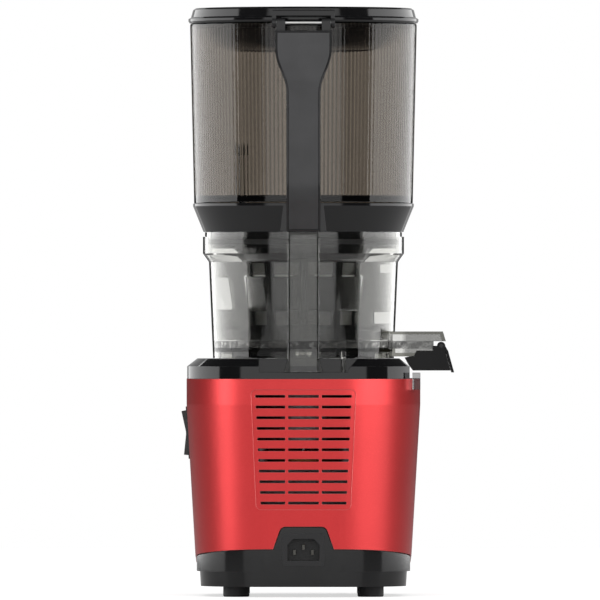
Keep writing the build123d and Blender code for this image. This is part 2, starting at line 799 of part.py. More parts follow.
with BuildPart() as vent_panel:
    with BuildSketch(Plane.XZ.offset(-(SHELL_HALF_TOP + 5))) as panel_face:
        with BuildLine():
            panel_top = VENT_TOP + VENT_PANEL_RISE
            panel_bottom = vent_bottom - VENT_PANEL_RISE
            half_top = VENT_HALF_TOP + VENT_PANEL_MARGIN
            half_bottom = VENT_HALF_BOTTOM + VENT_PANEL_MARGIN
            Polyline(
                (-half_bottom, panel_bottom),
                (-half_top, panel_top),
                (half_top, panel_top),
                (half_bottom, panel_bottom),
                close=True,
            )
        make_face()
        fillet(panel_face.vertices(), radius=VENT_PANEL_CORNER)
    extrude(amount=SHELL_HALF_TOP / 2)
    add(panel_floor, mode=Mode.SUBTRACT)

with BuildPart() as vent_slots:
    with BuildSketch(Plane.XZ.offset(-(SHELL_HALF_TOP + 5))):
        for row in range(VENT_ROWS):
            z = VENT_TOP - row * VENT_PITCH
            half = VENT_HALF_TOP - vent_lean * (VENT_TOP - z)
            side = half - VENT_BAR_X - VENT_BAR / 2
            with Locations((0, z)):
                RectangleRounded(2 * VENT_BAR_X - VENT_BAR, VENT_HEIGHT, 0.5)
            with Locations((-half + side / 2, z), (half - side / 2, z)):
                RectangleRounded(side, VENT_HEIGHT, 0.5)
    extrude(amount=SHELL_HALF_TOP / 2)

# Seat of the rocker switch: a plane that leans with the casing's +X side
casing_lean = degrees(atan((SHELL_HALF_TOP - SHELL_HALF_FOOT) / (SHELL_UPRIGHT_FROM - SHELL_FOOT)))
switch_normal = (cos(radians(casing_lean)), 0, -sin(radians(casing_lean)))
switch_plane = Plane((shell_half(SWITCH_Z), 0, SWITCH_Z), x_dir=(0, 1, 0), z_dir=switch_normal)

with BuildPart() as outer_shell:
    add(casing_outer)
    add(casing_inner, mode=Mode.SUBTRACT)
    split(bisect_by=shell_edge_plane, keep=Keep.TOP)
    notch_plane = Plane.XZ.offset(-(SHELL_HALF_TOP + 5))
    extrude(notch_face(notch_plane, 0), amount=SHELL_HALF_TOP / 2, mode=Mode.SUBTRACT)
    add(vent_panel.part, mode=Mode.SUBTRACT)
    add(vent_slots.part, mode=Mode.SUBTRACT)
    with BuildSketch(switch_plane.offset(SHELL_WALL * 2)):
        Rectangle(SWITCH_WIDTH + 0.4, SWITCH_LENGTH + 0.4)
    extrude(amount=-SHELL_WALL * 5, mode=Mode.SUBTRACT)
outer_shell.part.label = "outer_shell"
export_step(outer_shell.part, "parts/outer_shell.step")

# ------------------------------------------------------------------ base: rocker switch
with BuildPart() as switch_housing:
    with BuildSketch(switch_plane.offset(SWITCH_PROUD)):
        RectangleRounded(SWITCH_WIDTH, SWITCH_LENGTH, 1.5)
    extrude(amount=-(SWITCH_RIM + SWITCH_PROUD))
    with BuildSketch(switch_plane):
        Rectangle(SWITCH_WIDTH - 2, SWITCH_LENGTH - 2)
    extrude(amount=-SWITCH_DEPTH)
    with BuildSketch(switch_plane.offset(SWITCH_PROUD)):
        Rectangle(ROCKER_WIDTH + 2 * GAP, 2 * (ROCKER_RADIUS + GAP))
    extrude(amount=-(ROCKER_DROP + 4 + SWITCH_PROUD), mode=Mode.SUBTRACT)
    with BuildSketch(Plane.XZ.offset(-SWITCH_WIDTH / 2)):
        with Locations((shell_half(SWITCH_Z), SWITCH_Z)):
            Circle(ROCKER_AXLE_RADIUS + RUN)
    extrude(amount=SWITCH_WIDTH, mode=Mode.SUBTRACT)
switch_housing.part.label = "switch_housing"
export_step(switch_housing.part, "parts/switch_housing.step")

# The rocker turns about its axle in the casing's face; its ends are round about the axle.
rocker_up = (sin(radians(casing_lean)), 0, cos(radians(casing_lean)))
rocker_plane = Plane((shell_half(SWITCH_Z), 0, SWITCH_Z), x_dir=rocker_up, z_dir=(0, 1, 0))
with BuildPart() as switch_rocker:
    with BuildSketch(rocker_plane.offset(-ROCKER_WIDTH / 2)):
        with BuildLine():
            Polyline(
                (-ROCKER_RADIUS, -ROCKER_DROP),
                (-ROCKER_RADIUS, ROCKER_RISE),
                (0, ROCKER_VALLEY),
                (ROCKER_RADIUS, ROCKER_RISE),
                (ROCKER_RADIUS, -ROCKER_DROP),
                close=True,
            )
        make_face()
        Circle(ROCKER_RADIUS, mode=Mode.INTERSECT)
    extrude(amount=ROCKER_WIDTH)
    with BuildSketch(rocker_plane.offset(-SWITCH_WIDTH / 2 + 1)):
        Circle(ROCKER_AXLE_RADIUS)
    extrude(amount=SWITCH_WIDTH - 2)
switch_rocker.part.label = "switch_rocker"
export_step(switch_rocker.part, "parts/switch_rocker.step")

# ------------------------------------------------------------------ base: top cap
def cap_plan(z, inset):
    """Plan of the cap: the casing's rounded square, cut straight on the spout side."""
    with BuildSketch(Plane.XY.offset(z)) as plan:
        RectangleRounded(2 * (CAP_HALF - inset), 2 * (CAP_HALF - inset), SHELL_CORNER - inset)
        with Locations((CAP_HALF / 2 - (CAP_SPOUT_CUT - inset) / 2, 0)):
            Rectangle(CAP_HALF + CAP_SPOUT_CUT - inset, 2 * CAP_HALF, mode=Mode.INTERSECT)
    return plan.sketch


with BuildPart() as cap_room:
    extrude(cap_plan(SHELL_TOP - CAP_LIP, CAP_WALL), amount=CAP_CHAMFER_Z - SHELL_TOP + CAP_LIP - CAP_WALL)
    loft([cap_plan(CAP_CHAMFER_Z - CAP_WALL, CAP_WALL), cap_plan(CAP_UNDERSIDE, CAP_WALL + CAP_CHAMFER_IN)])

with BuildPart() as cap_tubs:
    # trays under the column's notch and under the pulp chute's channel
    with BuildSketch(Plane.XY.offset(CAP_NOTCH_FLOOR - TUB_WALL)):
        with Locations((-CAP_NOTCH_FLARE / 2, (CAP_NOTCH_FRONT + CAP_HALF) / 2 - 2)):
            Rectangle(2 * CAP_NOTCH_HALF + CAP_NOTCH_FLARE + 2 * TUB_WALL, CAP_HALF - CAP_NOTCH_FRONT + 4)
    extrude(amount=CAP_UNDERSIDE + 1 - CAP_NOTCH_FLOOR + TUB_WALL)
    with BuildSketch(Plane.XY.offset(CHUTE_CHANNEL_FLOOR - TUB_WALL)):
        with Locations((0, -(CHUTE_BACK + CAP_HALF) / 2)):
            Rectangle(2 * (CHUTE_CHANNEL_HALF + TUB_WALL), CAP_HALF - CHUTE_BACK + 2 * TUB_WALL + 2)
    extrude(amount=CAP_UNDERSIDE + 1 - CHUTE_CHANNEL_FLOOR + TUB_WALL)
    add(cap_room.part, mode=Mode.INTERSECT)

with BuildPart() as top_cap:
    extrude(cap_plan(SHELL_TOP, 0), amount=CAP_CHAMFER_Z - SHELL_TOP)
    loft([cap_plan(CAP_CHAMFER_Z, 0), cap_plan(CAP_TOP, CAP_CHAMFER_IN)])
    add(cap_room.part, mode=Mode.SUBTRACT)
    add(cap_tubs.part)
    # lip that locates the cap inside the casing
    lip_half = SHELL_HALF_TOP - SHELL_WALL - 0.2
    extrude(cap_plan(SHELL_TOP - CAP_LIP, CAP_HALF - lip_half), amount=CAP_LIP)
    extrude(cap_plan(SHELL_TOP - CAP_LIP, CAP_HALF - lip_half + CAP_WALL), amount=CAP_LIP, mode=Mode.SUBTRACT)
    # screw posts down to the pan's posts and the gearbox's mounts
    with BuildSketch(Plane.XY.offset(PAN_POST_TOP)):
        with Locations(*POSTS):
            Circle(CAP_POST_RADIUS)
    extrude(amount=CAP_UNDERSIDE + 0.5 - PAN_POST_TOP)
    with BuildSketch(Plane.XY.offset(PAN_POST_TOP)):
        with Locations(*POSTS):
            Circle(SCREW_RADIUS)
    extrude(amount=15, mode=Mode.SUBTRACT)
    with BuildSketch(Plane.XY.offset(COVER_TOP + GROMMET_HEIGHT)):
        with Locations(*MOUNT_EARS):
            Circle(CAP_POST_RADIUS)
    extrude(amount=CAP_UNDERSIDE + 0.5 - COVER_TOP - GROMMET_HEIGHT)
    with BuildSketch(Plane.XY.offset(COVER_TOP + GROMMET_HEIGHT)):
        with Locations(*MOUNT_EARS):
            Circle(SCREW_RADIUS)
    extrude(amount=10, mode=Mode.SUBTRACT)
    # hub around the drive shaft
    with BuildSketch(Plane.XY.offset(COVER_NECK_TOP + GAP)):
        Circle(HUB_OUTER)
    extrude(amount=HUB_TOP - COVER_NECK_TOP - GAP)
    with BuildSketch(Plane.XY.offset(COVER_NECK_TOP)):
        Circle(HUB_BORE)
    extrude(amount=HUB_TOP, mode=Mode.SUBTRACT)
    # notch for the bowl's column at the back, with one flared side
    with BuildSketch(Plane.XZ.offset(-CAP_HALF - 5)):
        with BuildLine():
            Polyline(
                (CAP_NOTCH_HALF, CAP_TOP + 1),
                (CAP_NOTCH_HALF, CAP_NOTCH_FLOOR),
                (-CAP_NOTCH_HALF, CAP_NOTCH_FLOOR),
                (-CAP_NOTCH_HALF, CAP_NOTCH_FLOOR + 2),
                (-CAP_NOTCH_HALF - CAP_NOTCH_FLARE, CAP_TOP + 1),
                close=True,
            )
        make_face()
    extrude(amount=CAP_HALF + 5 - CAP_NOTCH_FRONT, mode=Mode.SUBTRACT)
    # channel for the pulp chute at the front
    with BuildSketch(Plane.XY.offset(CHUTE_CHANNEL_FLOOR)):
        with Locations((0, -(CHUTE_BACK + CAP_HALF + 5) / 2)):
            Rectangle(2 * CHUTE_CHANNEL_HALF, CAP_HALF + 5 - CHUTE_BACK + 2)
    extrude(amount=CAP_TOP, mode=Mode.SUBTRACT)
top_cap.part.label = "top_cap"
export_step(top_cap.part, "parts/top_cap.step")

with BuildPart() as edge_clip:
    with BuildSketch(Plane.XY.offset(CLIP_BOTTOM)):
        with Locations((-(CLIP_HALF_OUT + CLIP_HALF_IN) / 2, CLIP_Y + CLIP_LENGTH / 2)):
            Rectangle(CLIP_HALF_OUT - CLIP_HALF_IN, CLIP_LENGTH)
    extrude(amount=CLIP_TOP - CLIP_BOTTOM)
    add(casing_outer, mode=Mode.SUBTRACT)
    add(top_cap.part, mode=Mode.SUBTRACT)
edge_clip.part.label = "edge_clip"
export_step(edge_clip.part, "parts/edge_clip.step")

with BuildPart() as drive_shaft_seal:
    add(tube(HUB_BORE, OUTPUT_RADIUS + RUN, COVER_NECK_TOP + GAP, COVER_NECK_TOP + GAP + SEAL_HEIGHT))
drive_shaft_seal.part.label = "drive_shaft_seal"
export_step(drive_shaft_seal.part, "parts/drive_shaft_seal.step")

# ------------------------------------------------------------------ base: motor
with BuildPart() as motor_stator:
    with BuildSketch(Plane.XY.offset(STATOR_BOTTOM)):
        RectangleRounded(2 * STATOR_HALF, 2 * STATOR_HALF, 4)
        Circle(STATOR_BORE, mode=Mode.SUBTRACT)
        with Locations(*MOTOR_SCREWS):
            Circle(MOTOR_SCREW_RADIUS + RUN, mode=Mode.SUBTRACT)
    extrude(amount=STATOR_TOP - STATOR_BOTTOM)
motor_stator.part.label = "motor_stator"
export_step(motor_stator.part, "parts/motor_stator.step")

with BuildPart() as motor_windings:
    add(tube(COIL_OUTER, COIL_INNER, STATOR_BOTTOM - COIL_HEIGHT, STATOR_BOTTOM))
    add(tube(COIL_OUTER, COIL_INNER, STATOR_TOP, STATOR_TOP + COIL_HEIGHT))
    fillet(motor_windings.edges().filter_by(GeomType.CIRCLE).group_by(Axis.Z)[0], radius=3)
    fillet(motor_windings.edges().filter_by(GeomType.CIRCLE).group_by(Axis.Z)[-1], radius=3)
motor_windings.part.label = "motor_windings"
export_step(motor_windings.part, "parts/motor_windings.step")

bracket_top = BRACKET_BOTTOM + BRACKET_PLATE
with BuildPart() as motor_bracket:
    with BuildSketch(Plane.XY.offset(BRACKET_BOTTOM)):
        Rectangle(12, 2 * sqrt(2) * MOTOR_SCREW, rotation=45)
        Rectangle(12, 2 * sqrt(2) * MOTOR_SCREW, rotation=-45)
        Circle(BEARING_RADIUS + 5)
        with Locations(*MOTOR_SCREWS):
            Circle(6)
    extrude(amount=BRACKET_PLATE)
    with BuildSketch(Plane.XY.offset(bracket_top)):
        with Locations(*MOTOR_SCREWS):
            Circle(6)
    extrude(amount=STATOR_BOTTOM - bracket_top)
    with BuildSketch(Plane.XY.offset(BRACKET_BOTTOM - BEARING_HEIGHT + BRACKET_PLATE)):
        Circle(BEARING_RADIUS + 3)
    extrude(amount=BEARING_HEIGHT)
    with BuildSketch(Plane.XY.offset(BRACKET_BOTTOM - BEARING_HEIGHT)):
        Circle(BEARING_RADIUS)
        with Locations(*MOTOR_SCREWS):
            Circle(MOTOR_SCREW_RADIUS + RUN)
    extrude(amount=STATOR_BOTTOM, mode=Mode.SUBTRACT)
motor_bracket.part.label = "motor_bracket"
export_step(motor_bracket.part, "parts/motor_bracket.step")

with BuildPart() as motor_bearings:
    add(tube(BEARING_RADIUS, SHAFT_RADIUS + RUN, bracket_top - BEARING_HEIGHT, bracket_top))
    add(tube(BEARING_RADIUS, SHAFT_RADIUS + RUN, GEARBOX_FLOOR, GEARBOX_FLOOR + GEARBOX_FLOOR_THICK))
motor_bearings.part.label = "motor_bearings"
export_step(motor_bearings.part, "parts/motor_bearings.step")

with BuildPart() as motor_screws:
    add(
        screws(
            MOTOR_SCREWS,
            BRACKET_BOTTOM - MOTOR_SCREW_HEAD_HEIGHT,
            GEARBOX_FLOOR + 4,
            MOTOR_SCREW_RADIUS,
            MOTOR_SCREW_HEAD,
            MOTOR_SCREW_HEAD_HEIGHT,
        )
    )
motor_screws.part.label = "motor_screws"
export_step(motor_screws.part, "parts/motor_screws.step")

with BuildPart() as motor_rotor:
    add(tube(ROTOR_RADIUS, SHAFT_RADIUS, STATOR_BOTTOM - ROTOR_RING, STATOR_TOP + ROTOR_RING))
    chamfer(motor_rotor.edges().filter_by(GeomType.CIRCLE).sort_by(SortBy.RADIUS)[-2:], length=1)
motor_rotor.part.label = "motor_rotor"
export_step(motor_rotor.part, "parts/motor_rotor.step")

# The top end of the motor's shaft is cut as the first pinion.
pinion_thick = WHEEL_THICK + 2 * PINION_EXTRA
first_pinion = spur_gear(GEAR_MODULE, PINION_TEETH, FIRST_MESH_BOTTOM - PINION_EXTRA, pinion_thick)
with BuildPart() as motor_shaft:
    add(tube(SHAFT_RADIUS, 0, SHAFT_BOTTOM, FIRST_MESH_BOTTOM))
    add(first_pinion)
motor_shaft.part.label = "motor_shaft"
export_step(motor_shaft.part, "parts/motor_shaft.step")

with BuildPart() as cooling_fan:
    add(tube(FAN_HUB, 0, FAN_BOTTOM, FAN_TOP))
    add(tube(FAN_RADIUS, 0, FAN_TOP - FAN_PLATE, FAN_TOP))
    with BuildSketch(Plane.XY.offset(FAN_BOTTOM)):
        with PolarLocations(0, FAN_BLADES):
            with Locations(Location(((FAN_HUB + FAN_RADIUS) / 2, 0), 0)):
                Rectangle(FAN_RADIUS - FAN_HUB + 1, 1.6)
    extrude(amount=FAN_TOP - FAN_BOTTOM - 0.5)
    with BuildSketch(Plane.XY.offset(FAN_BOTTOM)):
        Circle(SHAFT_RADIUS)
    extrude(amount=FAN_TOP, mode=Mode.SUBTRACT)
cooling_fan.part.label = "cooling_fan"
export_step(cooling_fan.part, "parts/cooling_fan.step")

# ------------------------------------------------------------------ base: gearbox
wheel_tip = GEAR_MODULE * (WHEEL_TEETH / 2 + 1)
box_inner = wheel_tip + GEARBOX_ROOM
box_outer = box_inner + GEARBOX_WALL


def gearbox_slot(z, radius):
    """Plan of the gearbox: a slot around the drive axis and the countershaft in front of it."""
    with BuildSketch(Plane.XY.offset(z)) as plan:
        with Locations((0, -CENTRE_DISTANCE / 2)):
            SlotCenterToCenter(CENTRE_DISTANCE, 2 * radius, rotation=90)
    return plan.sketch


floor_top = GEARBOX_FLOOR + GEARBOX_FLOOR_THICK
with BuildPart() as gearbox_case:
    extrude(gearbox_slot(GEARBOX_FLOOR, box_outer), amount=GEARBOX_TOP - GEARBOX_FLOOR)
    with BuildSketch(Plane.XY.offset(GEARBOX_FLOOR)):
        RectangleRounded(2 * GEARBOX_PLATE_HALF, 2 * GEARBOX_PLATE_HALF, 6)
    extrude(amount=GEARBOX_FLOOR_THICK)
    with BuildSketch(Plane.XY.offset(STATOR_TOP)):
        with Locations(*MOTOR_SCREWS):
            Circle(6)
    extrude(amount=GEARBOX_FLOOR - STATOR_TOP)
    extrude(gearbox_slot(floor_top, box_inner), amount=GEARBOX_TOP, mode=Mode.SUBTRACT)
    with BuildSketch(Plane.XY.offset(STATOR_TOP)):
        Circle(BEARING_RADIUS)
        with Locations(*MOTOR_SCREWS):
            Circle(MOTOR_SCREW_RADIUS)
    extrude(amount=floor_top - STATOR_TOP, mode=Mode.SUBTRACT)
    with BuildSketch(Plane.XY.offset(GEARBOX_FLOOR + 1)):
        with Locations((0, -CENTRE_DISTANCE)):
            Circle(COUNTER_BUSH_OUTER)
    extrude(amount=GEARBOX_FLOOR_THICK, mode=Mode.SUBTRACT)
gearbox_case.part.label = "gearbox_case"
export_step(gearbox_case.part, "parts/gearbox_case.step")

with BuildPart() as gearbox_cover:
    extrude(gearbox_slot(GEARBOX_TOP, box_outer), amount=COVER_THICK)
    with BuildSketch(Plane.XY.offset(GEARBOX_TOP)):
        with Locations(*MOUNT_EARS):
            Circle(MOUNT_EAR_RADIUS)
        with Locations((0, -MOUNT_EAR_FRONT), (0, MOUNT_EAR_BACK)):
            Rectangle(2 * MOUNT_EAR_X, 2 * MOUNT_EAR_RADIUS)
    extrude(amount=COVER_THICK)
    with BuildSketch(Plane.XY.offset(COVER_TOP)):
        Circle(COVER_NECK_OUTER)
    extrude(amount=COVER_NECK_TOP - COVER_TOP)
    with BuildSketch(Plane.XY.offset(GEARBOX_TOP)):
        Circle(OUTPUT_BUSH_OUTER)
        with Locations(*MOUNT_EARS):
            Circle(SCREW_RADIUS + RUN)
    extrude(amount=COVER_NECK_TOP, mode=Mode.SUBTRACT)
    with BuildSketch(Plane.XY.offset(GEARBOX_TOP)):
        with Locations((0, -CENTRE_DISTANCE)):
            Circle(COUNTER_BUSH_OUTER)
    extrude(amount=COVER_THICK - 1, mode=Mode.SUBTRACT)
gearbox_cover.part.label = "gearbox_cover"
export_step(gearbox_cover.part, "parts/gearbox_cover.step")

with BuildPart() as gearbox_bushes:
    bore = OUTPUT_RADIUS + RUN
    add(tube(OUTPUT_BUSH_OUTER, bore, GEARBOX_TOP, GEARBOX_TOP + BUSH_HEIGHT))
    add(tube(OUTPUT_BUSH_OUTER, bore, COVER_NECK_TOP - BUSH_HEIGHT, COVER_NECK_TOP))
    bore = COUNTERSHAFT_RADIUS + RUN
    add(tube(COUNTER_BUSH_OUTER, bore, GEARBOX_FLOOR + 1, floor_top, 0, -CENTRE_DISTANCE))
    add(tube(COUNTER_BUSH_OUTER, bore, GEARBOX_TOP, COVER_TOP - 1, 0, -CENTRE_DISTANCE))
gearbox_bushes.part.label = "gearbox_bushes"
export_step(gearbox_bushes.part, "parts/gearbox_bushes.step")

with BuildPart() as rubber_mounts:
    for x, y in MOUNT_EARS:
        add(tube(GROMMET_RADIUS, SCREW_RADIUS + RUN, COVER_TOP, COVER_TOP + GROMMET_HEIGHT, x, y))
rubber_mounts.part.label = "rubber_mounts"
export_step(rubber_mounts.part, "parts/rubber_mounts.step")

with BuildPart() as gearbox_screws:
    add(screws(MOUNT_EARS, GEARBOX_TOP - SCREW_HEAD_HEIGHT, COVER_TOP + GROMMET_HEIGHT + 10))
gearbox_screws.part.label = "gearbox_screws"
export_step(gearbox_screws.part, "parts/gearbox_screws.step")

# A gap of each 60-tooth wheel faces the tooth of the pinion that drives it.
half_tooth = 180.0 / WHEEL_TEETH
with BuildPart() as countershaft:
    add(tube(COUNTERSHAFT_RADIUS, 0, GEARBOX_FLOOR + 1 + GAP, COVER_TOP - 1 - GAP, 0, -CENTRE_DISTANCE))
    second_pinion_bottom = SECOND_MESH_BOTTOM - PINION_EXTRA
    add(spur_gear(GEAR_MODULE, PINION_TEETH, second_pinion_bottom, pinion_thick, 0, -CENTRE_DISTANCE))
countershaft.part.label = "countershaft"
export_step(countershaft.part, "parts/countershaft.step")

with BuildPart() as first_gear:
    add(spur_gear(GEAR_MODULE, WHEEL_TEETH, FIRST_MESH_BOTTOM, WHEEL_THICK, 0, -CENTRE_DISTANCE, half_tooth))
    with BuildSketch(Plane.XY.offset(FIRST_MESH_BOTTOM)):
        with Locations((0, -CENTRE_DISTANCE)):
            Circle(COUNTERSHAFT_RADIUS)
    extrude(amount=WHEEL_THICK, mode=Mode.SUBTRACT)
first_gear.part.label = "first_gear"
export_step(first_gear.part, "parts/first_gear.step")

with BuildPart() as output_gear:
    add(spur_gear(GEAR_MODULE, WHEEL_TEETH, SECOND_MESH_BOTTOM, WHEEL_THICK, 0, 0, half_tooth))
    with BuildSketch(Plane.XY.offset(SECOND_MESH_BOTTOM)):
        Circle(OUTPUT_RADIUS)
    extrude(amount=WHEEL_THICK, mode=Mode.SUBTRACT)
output_gear.part.label = "output_gear"
export_step(output_gear.part, "parts/output_gear.step")

hex_corner = HEX_ACROSS / sqrt(3)
with BuildPart() as drive_shaft:
    add(tube(OUTPUT_RADIUS, 0, SECOND_MESH_BOTTOM - 1, HEX_BOTTOM))
    with BuildSketch(Plane.XY.offset(HEX_BOTTOM)):
        RegularPolygon(hex_corner, 6)
    extrude(amount=HEX_TOP - HEX_BOTTOM)
    chamfer(drive_shaft.edges().group_by(Axis.Z)[-1], length=1)
drive_shaft.part.label = "drive_shaft"
export_step(drive_shaft.part, "parts/drive_shaft.step")

# ------------------------------------------------------------------ base: electrics
with BuildPart() as control_board:
    with BuildSketch(Plane.XY.offset(BOARD_BOTTOM)):
        with Locations((0, -BOARD_Y)):
            Rectangle(2 * BOARD_HALF, BOARD_THICK)
    extrude(amount=BOARD_HEIGHT)
control_board.part.label = "control_board"
export_step(control_board.part, "parts/control_board.step")

board_face = -BOARD_Y + BOARD_THICK / 2
with BuildPart() as board_parts:
    with BuildSketch(Plane.XZ.offset(-board_face)):
        with Locations((-14, BOARD_BOTTOM + 36), (10, BOARD_BOTTOM + 38), (-12, BOARD_BOTTOM + 18)):
            Rectangle(16, 12)
        with Locations((8, BOARD_BOTTOM + 20), (19, BOARD_BOTTOM + 20)):
            Circle(4)
    extrude(amount=-10)
board_parts.part.label = "board_parts"
export_step(board_parts.part, "parts/board_parts.step")

with BuildPart() as run_capacitor:
    add(tube(CAPACITOR_RADIUS, 0, PAN_INSIDE, PAN_INSIDE + CAPACITOR_HEIGHT, -CAPACITOR_X, CAPACITOR_Y))
    chamfer(run_capacitor.edges().group_by(Axis.Z)[-1], length=1.5)
    with BuildSketch(Plane.XY.offset(PAN_INSIDE + CAPACITOR_HEIGHT)):
        with Locations((-CAPACITOR_X - 5, CAPACITOR_Y), (-CAPACITOR_X + 5, CAPACITOR_Y)):
            Rectangle(0.8, 5)
    extrude(amount=7)
run_capacitor.part.label = "run_capacitor"
export_step(run_capacitor.part, "parts/run_capacitor.step")

with BuildPart() as interlock_sensor:
    with BuildSketch(Plane.XY.offset(CAP_NOTCH_FLOOR - TUB_WALL)):
        with Locations((0, SENSOR_Y)):
            Rectangle(SENSOR_SIZE, SENSOR_SIZE / 2)
    extrude(amount=-SENSOR_HEIGHT)
interlock_sensor.part.label = "interlock_sensor"
export_step(interlock_sensor.part, "parts/interlock_sensor.step")

# ------------------------------------------------------------------ bowl: gears and strainer seats
# The auger's gear, the idler beside it on +X and the ring gear around both are in mesh at rest.
idler_phase = 180.0 / AUGER_TEETH
bowl_gear_thick = BOWL_GEAR_TOP - BOWL_GEAR_BOTTOM
auger_gear = spur_gear(BOWL_MODULE, AUGER_TEETH, BOWL_GEAR_BOTTOM, bowl_gear_thick, 0, 0, 0, BOWL_BACKLASH)
idler_body = spur_gear(
    BOWL_MODULE, AUGER_TEETH, BOWL_GEAR_BOTTOM, bowl_gear_thick, IDLER_CENTRE, 0, idler_phase, BOWL_BACKLASH
)


def bowl_outer(z):
    """Outer radius of the bowl's wall at a height."""
    share = (z - BOWL_BOTTOM) / (BOWL_SHOULDER - BOWL_BOTTOM)
    return BOWL_RADIUS_BOTTOM + share * (BOWL_RADIUS_TOP - BOWL_RADIUS_BOTTOM)


def strainer_outer(z):
    """Outer radius of the strainer's tapered wall at a height."""
    share = (z - STRAINER_BOTTOM) / (STRAINER_TOP - STRAINER_BOTTOM)
    return STRAINER_R_BOTTOM + share * (STRAINER_R_TOP - STRAINER_R_BOTTOM)


idler_seat = BOWL_GEAR_BOTTOM - GAP
ring_seat = BOWL_GEAR_BOTTOM - 1.5
strainer_posts = [
    (STRAINER_POST_R * cos(radians(angle)), STRAINER_POST_R * sin(radians(angle)))
    for angle in STRAINER_POST_ANGLES
]
spout_side = (
    (-BOWL_RADIUS_BOTTOM + 2, SPOUT_BOTTOM),
    (-BOWL_RADIUS_BOTTOM + 2, SPOUT_TOP),
    (-HOOD_END_TOP, SPOUT_TOP),
    (-HOOD_END_BOTTOM, HOOD_BOTTOM),
    (-SPOUT_END, HOOD_BOTTOM),
    (-SPOUT_END, SPOUT_BOTTOM),
)
spout_room = (
    (-BOWL_RADIUS_BOTTOM - 1, SPOUT_INNER_BOTTOM),
    (-BOWL_RADIUS_BOTTOM - 1, SPOUT_TOP - SPOUT_WALL),
    (-HOOD_END_TOP + SPOUT_WALL, SPOUT_TOP - SPOUT_WALL),
    (-HOOD_END_BOTTOM + SPOUT_WALL, HOOD_BOTTOM - 1),
    (-SPOUT_END - GAP, HOOD_BOTTOM - 1),
    (-SPOUT_END - GAP, SPOUT_INNER_BOTTOM),
)

